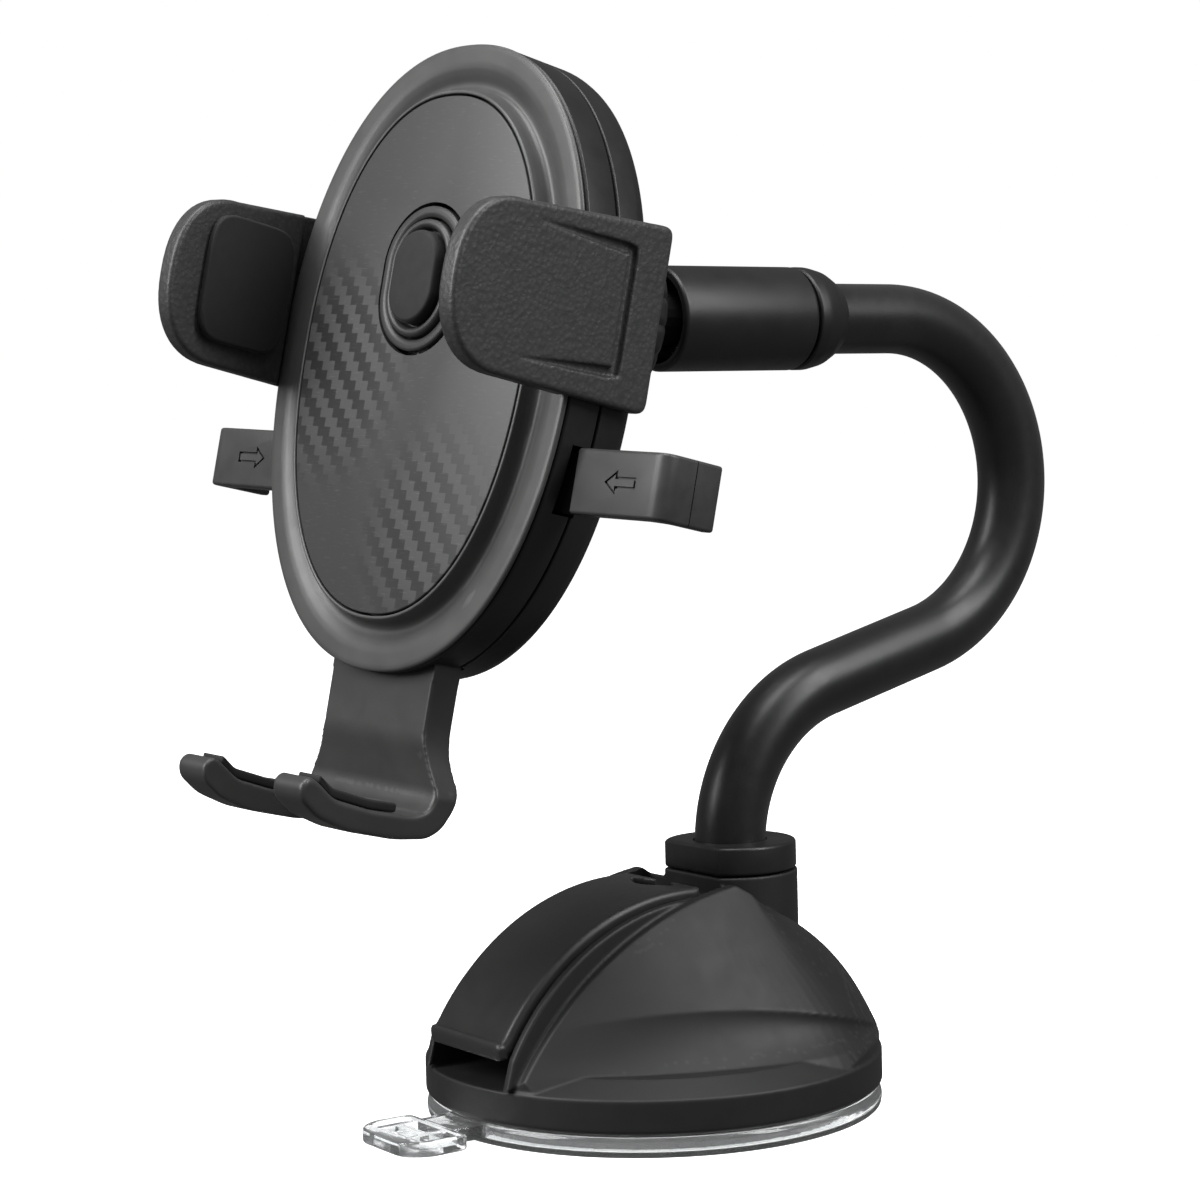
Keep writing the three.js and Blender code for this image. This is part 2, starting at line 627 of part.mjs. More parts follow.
function frontBezel() {
  const ring = (a, b, z) => oval(a, b).map(([x, y]) => [x, y, z]);
  const shell = loft([
    ring(BODY.a - 0.2, BODY.b - 0.2, -0.3), ring(BODY.a, BODY.b, 0), ring(BODY.a, BODY.b, 0.4),
    ring(BODY.a - 0.6, BODY.b - 0.6, 0.9), ring(32.4, 47.7, 0.9), ring(30.4, 46, 0.5), ring(29, 44.8, 0.7),
    ring(28.2, 44, 1.7), ring(27.8, 43.6, PLATE.front), ring(PLATE.a + GAP, PLATE.b + GAP, PLATE.front),
  ]);
  const recess = prism(oval(PLATE.a, PLATE.b), PLATE.front - 0.9, 5);
  const cavity = prism(oval(PLATE.a - 0.6, PLATE.b - 1), -2, 0.9);
  return shell.subtract(recess).subtract(cavity).subtract(triggerHole(0));
}

function facePlate() {
  return prism(oval(PLATE.a - GAP, PLATE.b - GAP), PLATE.front - 0.8, PLATE.front).subtract(triggerHole(0.8));
}

function screwPosts(z0, z1, radius) {
  return joined(...REAR_SCREWS.map(([x, y]) => rod(radius, [x, y, z0], [x, y, z1], 12)));
}

// Cuts the side windows that the arms, the release levers and the foot pass through.
function withoutWindows(body) {
  const [back, front] = SLOT_LAYERS;
  return body
    .subtract(box(-60, 60, ARM_BAR[0] - GAP, ARM_BAR[1] + GAP, back - 0.5, front))
    .subtract(box(-60, -24, LEVER.low - GAP, LEVER.high + GAP, back - 0.5, front))
    .subtract(box(24, 60, LEVER.low - GAP, LEVER.high + GAP, back - 0.5, front))
    .subtract(box(-FOOT.halfWidth - GAP, FOOT.halfWidth + GAP, -60, FOOT.top + 9, FOOT.back - GAP, FOOT.front + GAP));
}

function midFrame() {
  const top = -0.9;
  const outer = loft([ovalRing(0.3, SEAM + 0.1), ovalRing(0.3, top)]);
  const inner = loft([ovalRing(SHELL_WALL + 0.3, SEAM - 1), ovalRing(SHELL_WALL + 0.3, top + 1)]);
  const web = loft([ovalRing(SHELL_WALL, -3.2), ovalRing(SHELL_WALL, -2.5)]);
  let frame = outer.subtract(inner).add(web).add(screwPosts(-7, -2.6, 3));
  frame = withoutWindows(frame.subtract(screwPosts(-9, -3.6, 1.4)));
  const latchWindow = box(-2.6, 2.6, -15.5, 1.5, -5, 0);
  return frame.subtract(latchWindow);
}

function rearShell() {
  const outer = loft([
    ovalRing(3.2, BODY_BACK), ovalRing(1.7, BODY_BACK + 0.6), ovalRing(0.7, BODY_BACK + 1.8),
    ovalRing(0.3, BODY_BACK + 3), ovalRing(0.3, SEAM - 0.2),
  ]);
  const inner = loft([ovalRing(SHELL_WALL + 1.4, BODY_BACK + SHELL_WALL), ovalRing(SHELL_WALL + 0.3, SEAM + 1)]);
  let shell = outer.subtract(inner);
  const posts = screwPosts(BODY_BACK + 1, SEAM - 0.2, 3).add(
    rod(2.6, [0, PINION.y, BODY_BACK + 1], [0, PINION.y, REAR_LAYER[0] - 0.5], 24));
  shell = shell.add(posts).subtract(screwPosts(-20, 0, 1.4)).subtract(screwPosts(-20, BODY_BACK + 1.5, 2.8));
  shell = shell.subtract(rod(1.3, [0, PINION.y, BODY_BACK + 2.4], [0, PINION.y, 0], 20));
  const footRoom = box(-FOOT.halfWidth - GAP, FOOT.halfWidth + GAP, -60, FOOT.top + 9, FOOT.back - GAP, 0);
  return shell.subtract(footRoom);
}

function rearScrew() {
  return turned([[0, BODY_BACK + 0.1], [2.4, BODY_BACK + 0.1], [2.4, BODY_BACK + 1.2], [1.1, BODY_BACK + 1.2],
    [1.1, -4.2], [0, -4.2]], 12);
}

// ---- Arms: sliders, wings, pads, release levers and pinion ----------------------------------

const PITCH_RADIUS = (PINION.teeth * PINION.module) / 2;
const TOOTH_PITCH = Math.PI * PINION.module;

function pinion() {
  const root = PITCH_RADIUS - 1.1;
  const tip = PITCH_RADIUS + 0.7;
  const outline = [];
  for (let i = 0; i < PINION.teeth; i += 1) {
    const centre = ((i + 0.5) / PINION.teeth) * 2 * Math.PI + 90 * DEG;
    for (const [radius, half] of [[root, -0.16], [tip, -0.055], [tip, 0.055], [root, 0.16]]) {
      const angle = centre + half;
      outline.push([radius * Math.cos(angle), PINION.y + radius * Math.sin(angle)]);
    }
  }
  return prism(outline, REAR_LAYER[0], FRONT_LAYER[1]).subtract(
    rod(1.5, [0, PINION.y, -20], [0, PINION.y, 5], 20));
}

function pinionPin() {
  return rod(1.1, [0, PINION.y, BODY_BACK + 2.7], [0, PINION.y, FRONT_LAYER[1]], 20);
}

// Rack teeth along x, standing off a bar's edge. Direction is -1 for teeth that point down.
function rackTeeth(edge, direction, from, count, layer) {
  const teeth = [];
  for (let i = 0; i < count; i += 1) {
    const x = from + i * TOOTH_PITCH;
    const tipY = edge + direction * 2.1;
    teeth.push(prism([[x - 0.75, edge - direction * 0.2], [x + 0.75, edge - direction * 0.2],
      [x + 0.3, tipY], [x - 0.3, tipY]], ...layer));
  }
  return joined(...teeth);
}

const SLIDER_END = 35.6;
const TAIL = 29;

// The right arm's slider is in the front layer. It carries the right wing and, across the body,
// the left release lever, and its rack meshes with the top of the pinion.
function rightSlider() {
  const bar = box(-TAIL, SLIDER_END, ...ARM_BAR, ...FRONT_LAYER);
  const limb = box(-TAIL, -25.4, LEVER.low + 0.2, ARM_BAR[0] + 1, ...FRONT_LAYER);
  const foot = box(-SLIDER_END, -25.4, LEVER.low + 0.2, LEVER.high - 0.2, ...FRONT_LAYER);
  const springTab = box(-TAIL, -27.6, 7, 11, -10.6, FRONT_LAYER[1]);
  const teeth = rackTeeth(ARM_BAR[0], -1, -TOOTH_PITCH * 6, 7, FRONT_LAYER);
  return joined(bar, limb, foot, springTab, teeth);
}

// The left arm's slider is in the rear layer, and its rack meshes with the pinion's underside.
function leftSlider() {
  const rackEdge = PINION.y - PITCH_RADIUS - 2;
  const bar = box(-SLIDER_END, TAIL, ...ARM_BAR, ...REAR_LAYER);
  const limb = box(25.4, TAIL, LEVER.low + 0.2, ARM_BAR[0] + 1, ...REAR_LAYER);
  const foot = box(-1.8, SLIDER_END, LEVER.low + 0.2, rackEdge, ...REAR_LAYER);
  const springTab = box(27.6, TAIL, 7, 11, -10.6, REAR_LAYER[1]);
  const teeth = rackTeeth(rackEdge, 1, 0, 7, REAR_LAYER);
  const tabSlot = box(-TAIL - 0.6, 6.2, 6.4, 11.6, -9, -5);
  return joined(bar, limb, foot, springTab, teeth).subtract(tabSlot);
}

function armSpring() {
  const across = new THREE.Matrix4().makeBasis(
    new THREE.Vector3(0, 0, -1), new THREE.Vector3(0, 1, 0), new THREE.Vector3(1, 0, 0));
  across.setPosition(0, 9, -9.2);
  return moved(coil(1.2, 0.22, -27.1, 27.1, 9), across);
}

// A wing's outline in the plane of its length (x here is the cradle's z) and height.
function wingOutline() {
  const topAt = (z) => WING.top - 0.09 * z;
  const bottomAt = (z) => WING.bottom + 0.015 * z;
  const middle = (topAt(WING.tip) + bottomAt(WING.tip)) / 2;
  const shoulder = 15;
  const outline = [[WING.back + 1.6, bottomAt(WING.back)], [shoulder, bottomAt(shoulder)]];
  const steps = 12;
  for (let i = 1; i < steps; i += 1) {
    const [x, y] = withTurn(2.35, THREE.MathUtils.lerp(-90, 90, i / steps) * DEG);
    const half = y < 0 ? middle - bottomAt(shoulder) : topAt(shoulder) - middle;
    outline.push([shoulder + (WING.tip - shoulder) * x, middle + half * y]);
  }
  outline.push([shoulder, topAt(shoulder)], [WING.back + 1.6, topAt(WING.back)],
    [WING.back, topAt(WING.back) - 1.6], [WING.back, bottomAt(WING.back) + 1.6]);
  return outline;
}

function wing() {
  const outline = wingOutline();
  const leaning = (depth) => outline.map(([z, y]) => [WING.outer - depth - WING.lean * z, y, z]);
  const blade = loft([leaning(WING.thickness), leaning(0.5),
    outline.map(([z, y]) => [WING.outer - WING.lean * z, y * 0.965 + 0.3, z * 0.975 + 0.15])]);
  const bodyRoom = box(0, 35.9, -20, 40, -30, 1.3);
  return blade.subtract(bodyRoom);
}

function wingPad() {
  const height = 21;
  const outline = [];
  for (let i = 0; i < 24; i += 1) {
    const [x, y] = withTurn(5, (i / 24) * 2 * Math.PI);
    outline.push([12 + 8.8 * x, 8.9 + (height / 2) * y]);
  }
  const face = (depth) => outline.map(([z, y]) => [WING.outer - depth - WING.lean * z, y, z]);
  return loft([face(WING.thickness + GAP + 1.3), face(WING.thickness + GAP)]);
}

function releaseLever() {
  const plate = [[SLIDER_END + GAP, LEVER.front], [LEVER.reach - 1.2, LEVER.front], [LEVER.reach, LEVER.front - 1.2],
    [LEVER.reach, LEVER.back + 1], [LEVER.reach - 1, LEVER.back], [LEVER.reach - 2.4, LEVER.back],
    [LEVER.reach - 2.6, -8.4], [LEVER.reach - 4.2, -6.9], [SLIDER_END + GAP, -6.9]];
  const lying = new THREE.Matrix4().makeBasis(
    new THREE.Vector3(1, 0, 0), new THREE.Vector3(0, 0, 1), new THREE.Vector3(0, -1, 0));
  return moved(prism(plate, -LEVER.high, -LEVER.low), lying);
}

function mirrored(body) {
  return moved(body, new THREE.Matrix4().makeScale(-1, 1, 1));
}

// ---- Trigger and latch ----------------------------------------------------------------------

function triggerRing() {
  const { width, height, y } = TRIGGER;
  return prism(stadium(width - 2 * GAP, height - 2 * GAP, y), 1, 2.7)
    .subtract(prism(stadium(width - 4.4, height - 4.4, y), 0, 5));
}

function triggerButton() {
  const { width, height, y } = TRIGGER;
  const flange = prism(stadium(width - 1.4, height - 1.4, y), -0.1, 0.7);
  const crown = prism(stadium(width - 5, height - 5, y), 0.5, 3.9);
  const recess = prism(stadium(width - 8.4, height - 8.4, y), 2.2, 6);
  return joined(flange, crown).subtract(recess);
}

function triggerPad() {
  const { width, height, y } = TRIGGER;
  const ring = (inset, z) => stadium(width - 10 - inset, height - 10.6 - inset, y).map(([px, py]) => [px, py, z]);
  return loft([ring(0, 2.5), ring(0, 4.9), ring(0.8, 5.3)]);
}

// A bowed steel strip that lifts the trigger.
function triggerSpring() {
  const outline = [];
  const half = 7;
  const rise = (x) => -2.1 + 1.5 * (1 - (x / half) ** 2);
  for (let i = 0; i <= 10; i += 1) outline.push([-half + (2 * half * i) / 10, rise(-half + (2 * half * i) / 10)]);
  for (let i = 10; i >= 0; i -= 1) outline.push([-half + (2 * half * i) / 10, rise(-half + (2 * half * i) / 10) + 0.3]);
  const lying = new THREE.Matrix4().makeBasis(
    new THREE.Vector3(1, 0, 0), new THREE.Vector3(0, 0, 1), new THREE.Vector3(0, -1, 0));
  return moved(prism(outline, -TRIGGER.y - 2, -TRIGGER.y + 2), lying);
}

const LATCH_PIVOT = { y: -8, z: -1 };

function latchRocker() {
  const { y, z } = LATCH_PIVOT;
  const arm = box(-1.8, 1.8, -12.4, 1, -1.6, -0.7);
  const tooth = box(-1.8, 1.8, -12.4, -11, -3.2, -1.5);
  const boss = rod(1.4, [-1.8, y, z], [1.8, y, z], 14);
  return joined(arm, tooth, boss).subtract(rod(0.8, [-3, y, z], [3, y, z], 12));
}

function latchPin() {
  const { y, z } = LATCH_PIVOT;
  return rod(0.5, [-3.6, y, z], [3.6, y, z], 12);
}

// ---- Foot -----------------------------------------------------------------------------------

// The foot's side view: a plate that turns forward into a hook with a raised tip.
function hookOutline() {
  const { front, back, hookY, tip } = FOOT;
  return [
    [back, -52], [back, -62], [back - 1.3, -66.6], [back - 1.2, -69.3], [back + 1, -73], [back + 3.9, hookY - 0.2],
    [front + 5, hookY - 0.7], [12, hookY], [18, hookY + 1.7], [tip, hookY + 4], [tip + 0.4, hookY + 6],
    [tip - 1, hookY + 7.2], [tip - 3, hookY + 6.2], [15.5, hookY + 4.2], [8, hookY + 3.2], [front + 1.6, hookY + 3.1],
    [front - 0.8, hookY + 4.2], [front - 1.8, hookY + 6.5], [front - 1, -64], [front, -60], [front, -52],
  ];
}

function footBody() {
  const sideways = new THREE.Matrix4().makeBasis(
    new THREE.Vector3(0, 0, 1), new THREE.Vector3(0, 1, 0), new THREE.Vector3(1, 0, 0));
  const outline = hookOutline();
  const tongue = box(-FOOT.halfWidth, FOOT.halfWidth, FOOT.top - 18, FOOT.top, FOOT.back, FOOT.front);
  const span = HOOK.centre + HOOK.halfWidth;
  let foot = moved(prism(outline, -span, span), sideways);
  const between = HOOK.centre - HOOK.halfWidth;
  foot = foot.subtract(box(-between, between, -80, FOOT.hookY + 12, HOOK.gapFrom, 40));
  const shoulders = [[FOOT.halfWidth, -48], [FOOT.halfWidth, -58], [13.4, -62], [span, -67.5], [30, -67.5], [30, -48]];
  foot = foot.subtract(prism(shoulders, -20, FOOT.front + 3))
    .subtract(mirrored(prism(shoulders, -20, FOOT.front + 3)));
  return foot.add(tongue);
}

function footPad() {
  const { hookY, tip } = FOOT;
  const sideways = new THREE.Matrix4().makeBasis(
    new THREE.Vector3(0, 0, 1), new THREE.Vector3(0, 1, 0), new THREE.Vector3(1, 0, 0));
  const lift = GAP + 0.05;
  const low = [[2.5, hookY + 3.2], [8, hookY + 3.2], [15.5, hookY + 4.2], [tip - 3, hookY + 6.2]];
  const outline = [...low.map(([z, y]) => [z, y + lift]), ...low.reverse().map(([z, y]) => [z, y + lift + 1.3])];
  return moved(prism(outline, HOOK.centre - 2.6, HOOK.centre + 2.6), sideways);
}

// A bent steel strip behind the foot's tongue, which holds the foot where it is set.
function footSpring() {
  const outline = [[-44, -12.1], [-36, -9.2], [-28, -12.1], [-28, -11.7], [-36, -8.8], [-44, -11.7]];
  const lying = new THREE.Matrix4().makeBasis(
    new THREE.Vector3(0, 1, 0), new THREE.Vector3(0, 0, 1), new THREE.Vector3(1, 0, 0));
  return moved(prism(outline, -4, 4), lying);
}

// ---- Assembly -------------------------------------------------------------------------------

function named(name, body, material) {
  const mesh = new THREE.Mesh(geometryOf(body), MATERIALS[material]);
  mesh.name = name;
  return mesh;
}

function suctionBase() {
  const group = new THREE.Group();
  group.add(
    named('base_housing', baseHousing(), 'blackAbs'),
    named('base_plate', basePlate(), 'blackAbs'),
    named('suction_cup', suctionCup(), 'clearTpu'),
    named('cup_stem', cupStem(), 'nylon'),
    named('cup_spring', coil(5.6, 0.5, FLANGE_TOP + 0.9, 13.1, 3), 'steel'),
    named('lock_lever', lockLever(), 'greyAbs'),
    named('lever_cam', leverCam(), 'blackAbs'),
    named('lever_pin', leverPinBore(LEVER_PIN_RADIUS, SLOT_HALF_WIDTH + WALL - 0.4), 'steel'),
    named('neck_collar', neckCollar(), 'blackAbs'),
  );
  BASE_SCREWS.forEach(([x, y], i) => {
    const screw = named(`base_screw_${i + 1}`, baseScrew(), 'steel');
    screw.position.set(x, y, 0);
    group.add(screw);
  });
  return group;
}

function gooseneck() {
  const group = new THREE.Group();
  const stops = [-NECK_ROOT, ...NECK_JOINTS, NECK_LENGTH];
  for (let i = 0; i + 1 < stops.length; i += 1) {
    const { sleeve, core } = neckLength(stops[i], stops[i + 1]);
    group.add(named(`neck_sleeve_${i + 1}`, sleeve, 'rubber'), named(`neck_core_${i + 1}`, core, 'steel'));
  }
  group.add(
    named('neck_end_nut', neckEndNut(), 'blackAbs'),
    named('joint_sleeve', jointSleeve(), 'blackAbs'),
    named('ball_stem', ballStem(), 'blackAbs'),
    named('joint_ball', ball(BALL.radius, 0, BALL.y, BALL_HEIGHT, 24), 'blackAbs'),
  );
  return group;
}

function cradle() {
  const group = new THREE.Group();
  group.add(
    named('ball_liner', ballLiner(), 'nylon'),
    named('ball_socket', ballSocket(), 'blackAbs'),
    named('ball_nut', ballNut(), 'blackAbs'),
    named('rear_shell', rearShell(), 'blackAbs'),
    named('mid_frame', midFrame(), 'blackAbs'),
    named('front_bezel', frontBezel(), 'greyAbs'),
    named('face_plate', facePlate(), 'carbonFilm'),
    named('trigger_ring', triggerRing(), 'greyAbs'),
    named('trigger_button', triggerButton(), 'greyAbs'),
    named('trigger_pad', triggerPad(), 'rubber'),
    named('trigger_spring', triggerSpring(), 'steel'),
    named('latch_rocker', latchRocker(), 'nylon'),
    named('latch_pin', latchPin(), 'steel'),
    named('pinion', pinion(), 'nylon'),
    named('pinion_pin', pinionPin(), 'steel'),
    named('slider_right', rightSlider(), 'blackAbs'),
    named('slider_left', leftSlider(), 'blackAbs'),
    named('arm_spring', armSpring(), 'steel'),
    named('wing_right', wing(), 'greyAbs'),
    named('wing_left', mirrored(wing()), 'greyAbs'),
    named('wing_pad_right', wingPad(), 'rubber'),
    named('wing_pad_left', mirrored(wingPad()), 'rubber'),
    named('release_lever_right', releaseLever(), 'greyAbs'),
    named('release_lever_left', mirrored(releaseLever()), 'greyAbs'),
    named('foot', footBody(), 'greyAbs'),
    named('foot_pad_right', footPad(), 'rubber'),
    named('foot_pad_left', mirrored(footPad()), 'rubber'),
    named('foot_spring', footSpring(), 'steel'),
  );
  REAR_SCREWS.forEach(([x, y], i) => {
    const screw = named(`rear_screw_${i + 1}`, rearScrew(), 'steel');
    screw.position.set(x, y, 0);
    group.add(screw);
  });
  group.position.set(0, -BALL_AXIS_Y, BALL_BEHIND);
  return group;
}

// The cradle turns about the ball: it pans about the vertical, tilts, and spins about its face.
function onBall(part) {
  const spin = new THREE.Group();
  spin.rotation.z = -SPIN;
  spin.add(part);
  const facing = new THREE.Group();
  facing.rotation.x = 90 * DEG - TILT;
  facing.add(spin);
  const pan = new THREE.Group();
  pan.rotation.z = PAN;
  pan.position.set(0, BALL.y, BALL_HEIGHT);
  pan.add(facing);
  return pan;
}

const phoneMount = new THREE.Group();
phoneMount.add(suctionBase(), gooseneck(), onBall(cradle()));

export default phoneMount;
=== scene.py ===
"""Car phone mount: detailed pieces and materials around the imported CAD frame."""

import json
import math

import bmesh
import bpy
import numpy as np
from mathutils import Matrix, Vector


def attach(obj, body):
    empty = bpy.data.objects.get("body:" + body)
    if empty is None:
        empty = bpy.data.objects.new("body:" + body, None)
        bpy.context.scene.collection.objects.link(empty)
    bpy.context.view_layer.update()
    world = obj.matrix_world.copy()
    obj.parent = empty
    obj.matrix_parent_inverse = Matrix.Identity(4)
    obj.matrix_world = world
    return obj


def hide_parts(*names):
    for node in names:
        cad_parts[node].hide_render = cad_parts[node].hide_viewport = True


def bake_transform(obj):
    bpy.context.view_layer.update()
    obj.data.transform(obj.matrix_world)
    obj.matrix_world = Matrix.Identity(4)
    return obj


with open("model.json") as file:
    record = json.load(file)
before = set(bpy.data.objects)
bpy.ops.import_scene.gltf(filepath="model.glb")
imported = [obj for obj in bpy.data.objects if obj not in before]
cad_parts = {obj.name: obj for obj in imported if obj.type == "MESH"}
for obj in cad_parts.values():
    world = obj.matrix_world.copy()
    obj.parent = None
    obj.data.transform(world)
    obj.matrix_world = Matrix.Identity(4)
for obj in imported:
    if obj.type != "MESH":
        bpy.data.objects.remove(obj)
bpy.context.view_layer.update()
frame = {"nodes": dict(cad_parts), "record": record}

MM = 0.001
DEG = math.pi / 180

# ---- Driving dimensions, in millimetres: the CAD part's, or a little off where it looks better ----
FLANGE_RADIUS = 39.0
FLANGE_BOTTOM = 3.6
FLANGE_TOP = 9.2
SKIRT_RADIUS = 37.4                   # the flange's skirt inside the clear cup
SKIRT_BOTTOM = 1.0
UNDERSIDE_RADIUS = 35.6               # the room for the base plate and the stem's disc
UNDERSIDE_TOP = 6.1
STEM_BORE = 4.3
LEDGE_TOP = 11.8
DOME_TOP = 37.9
SPINE_HALF = 14.6                     # outer faces of the two arches beside the lever
SLOT_HALF = 11.4
SLOT_BACK = 8.6
SIDE_SLOPE = 0.835                    # how far the dome widens for each millimetre down
SCOOP_SLOPE = 0.62
SCOOP_HOLLOW = 1.3
WIDEST_Y = 10.0
RIM_ARCH = (15.1, -22.7, 61.1)        # arches from the side: centre y, centre z, radius
LEVER_ARCH = (0.0, -5.2, 43.0)
REAR_ARCH = (-4.0, -8.0, 45.2)
LEVER_HALF = 10.75
LEVER_THICK = 4.6
PIVOT = (2.0, 30.5)                   # the lever's pin: y, z
POST_Y = 17.5
POST_RADIUS = 11.6
POST_STEP = 38.4
POST_TOP = 43.3
CUP_RADIUS = 38.9

NECK_FOOT = (17.5, 42.0)              # where the neck's centreline starts: y, z
NECK_RADIUS = 6.2
LOWER_RADIUS = 28.0
LOWER_TURN = 75.5 * DEG
STRAIGHT = 25.2
UPPER_RADIUS = 29.5
UPPER_TURN = 165.5 * DEG
END_RUN = 32.6
NECK_BENDS = [14.0, 50.0, 88.0, 126.0]   # distances along the neck of its four joints
BLEND_HALF = 12.0                     # the reach to either side of each joint; neck_skin works out its end points but does not use them
SLEEVE_BACK = 33.0                    # the joint sleeve's ends, along y
SLEEVE_FRONT = 4.3

BODY_A = 35.5                         # the cradle's oval: half width, half height, roundness
BODY_B = 50.4
BODY_POWER = 2.2
BODY_BACK = -14.5
SEAM = -7.3
PLATE_A = 26.6
PLATE_B = 41.6
PLATE_FRONT = 2.2
BALL_AXIS_Y = 12.45
BALL_BEHIND = 29.5
NUT_RADIUS = 18.4
NUT_FLUTES = 24
TRIGGER_Y = 12.0
TRIGGER_W = 19.5
TRIGGER_H = 24.0
WING_OUTER = 37.5
WING_LEAN = 0.06
WING_BACK = -14.0
WING_TIP = 27.0
WING_THICK = 3.5
WING_SHOULDER = 15.0                  # where the wing's square part meets its round tip
LEVER_LOW = -22.6                     # the release levers, in the cradle's y and z
LEVER_HIGH = -12.6
RELEASE_FRONT = -3.5
RELEASE_BACK = -15.5
FOOT_HALF = 12.6
FOOT_FRONT = -2.6
FOOT_BACK = -8.2
FOOT_TIP = 21.5
HOOK_Y = -74.5
HOOK_CENTRE = 12.2

CAMERA_FROM = (387.47, -275.30, 115.57)
CAMERA_YAW = 55.466 * DEG
CAMERA_PITCH = -3.545 * DEG
CAMERA_ROLL = -1.48 * DEG
CAMERA_LENS = 84.2


# ---- Places taken from the frame ---------------------------------------------------------------
JOINTS = {j["name"]: j for j in frame["record"]["behaviour"]["joints"]}


def cradle_matrix():
    """The cradle's own frame in the row frame: x right, y up its long axis, z out of its face."""
    right = Vector(JOINTS["arm_right_slide"]["axis"])
    up = -Vector(JOINTS["foot_slide"]["axis"])
    out = Vector(JOINTS["ball_spin"]["axis"])
    ball = Vector(JOINTS["ball_spin"]["pos_m"])
    origin = ball - up * BALL_AXIS_Y * MM + out * BALL_BEHIND * MM
    m = Matrix((right, up, out)).transposed().to_4x4()
    m.translation = origin
    return m


CRADLE = cradle_matrix()
BALL = Vector(JOINTS["ball_spin"]["pos_m"]) / MM


# ---- Mesh helpers ------------------------------------------------------------------------------
def signed_power(value, power):
    """A power that keeps the value's sign."""
    return math.copysign(abs(value) ** power, value)


def oval(a, b, count, power=BODY_POWER):
    """A rounded oval as (x, y) points, counter-clockwise."""
    points = []
    for i in range(count):
        angle = 2 * math.pi * i / count
        x = a * signed_power(math.cos(angle), 2 / power)
        y = b * signed_power(math.sin(angle), 2 / power)
        points.append((x, y))
    return points


def stadium(width, height, y, count):
    """An upright shape with straight sides and half-round ends, as (x, y) points."""
    radius = width / 2
    points = []
    for end in (1, -1):
        centre = y + end * (height / 2 - radius)
        for i in range(count + 1):
            angle = math.pi * i / count + (0 if end > 0 else math.pi)
            points.append((radius * math.cos(angle), centre + radius * math.sin(angle)))
    return points


def rounded(points, radius, steps=5):
    """A polygon with every corner rounded; radius is a number or one number per corner."""
    result = []
    count = len(points)
    radii = radius if isinstance(radius, (list, tuple)) else [radius] * count
    for i in range(count):
        corner = Vector(points[i])
        before = Vector(points[i - 1]) - corner
        after = Vector(points[(i + 1) % count]) - corner
        reach = min(radii[i], before.length * 0.49, after.length * 0.49)
        if reach < 0.02:
            result.append(tuple(corner))
            continue
        start = corner + before.normalized() * reach
        end = corner + after.normalized() * reach
        for k in range(steps + 1):
            t = k / steps
            point = start * (1 - t) ** 2 + corner * 2 * t * (1 - t) + end * t * t
            result.append(tuple(point))
    return result


def area(points):
    """The signed area inside an outline, positive when it runs counter-clockwise."""
    total = 0.0
    for (x0, y0), (x1, y1) in zip(points, points[1:] + points[:1]):
        total += x0 * y1 - x1 * y0
    return total / 2


def inset(points, distance):
    """The outline moved inwards, along the mean of its neighbouring edges' normals."""
    if area(points) < 0:
        points = points[::-1]
    result = []
    count = len(points)
    for i in range(count):
        x0, y0 = points[i - 1]
        x1, y1 = points[i]
        x2, y2 = points[(i + 1) % count]
        first = Vector((x1 - x0, y1 - y0))
        second = Vector((x2 - x1, y2 - y1))
        if first.length < 1e-9 or second.length < 1e-9:
            first = second = Vector((x2 - x0, y2 - y0))
        first.normalize()
        second.normalize()
        normal = Vector((-(first.y + second.y), first.x + second.x))
        if normal.length < 1e-6:
            normal = Vector((-first.y, first.x))
        normal.normalize()
        shrink = max(0.5, normal.dot(Vector((-first.y, first.x))))
        result.append((x1 + normal.x * distance / shrink, y1 + normal.y * distance / shrink))
    return result


def skin(rings, closed=False):
    """Vertices and faces of a skin through equal rings; closed joins the last ring to the first."""
    count = len(rings[0])
    verts = [p for ring in rings for p in ring]
    faces = []
    spans = len(rings) if closed else len(rings) - 1
    for r in range(spans):
        low = r * count
        high = ((r + 1) % len(rings)) * count
        for i in range(count):
            j = (i + 1) % count
            faces.append((low + i, low + j, high + j, high + i))
    if not closed:
        faces.append(tuple(range(count))[::-1])
        top = (len(rings) - 1) * count
        faces.append(tuple(top + i for i in range(count)))
    return verts, faces


def make_mesh(name, verts, faces, sharp=35.0):
    """A mesh object in millimetre coordinates scaled to metres, smooth except at sharp edges."""
    bm = bmesh.new()
    made = [bm.verts.new(Vector(v) * MM) for v in verts]
    for face in faces:
        if len(set(face)) > 2:
            bm.faces.new([made[i] for i in face])
    bmesh.ops.remove_doubles(bm, verts=bm.verts, dist=1e-7)
    big = [f for f in bm.faces if len(f.verts) > 4]
    bmesh.ops.triangulate(bm, faces=big, ngon_method="EAR_CLIP")
    bmesh.ops.recalc_face_normals(bm, faces=bm.faces)
    finish_shading(bm, sharp)
    mesh = bpy.data.meshes.new(name)
    bm.to_mesh(mesh)
    bm.free()
    obj = bpy.data.objects.new(name, mesh)
    bpy.context.scene.collection.objects.link(obj)
    return obj


def finish_shading(bm, sharp):
    """Smooth faces, with a hard edge wherever two faces meet at more than the sharp angle."""
    for face in bm.faces:
        face.smooth = True
    for edge in bm.edges:
        if len(edge.link_faces) == 2:
            edge.smooth = edge.calc_face_angle(0.0) < sharp * DEG


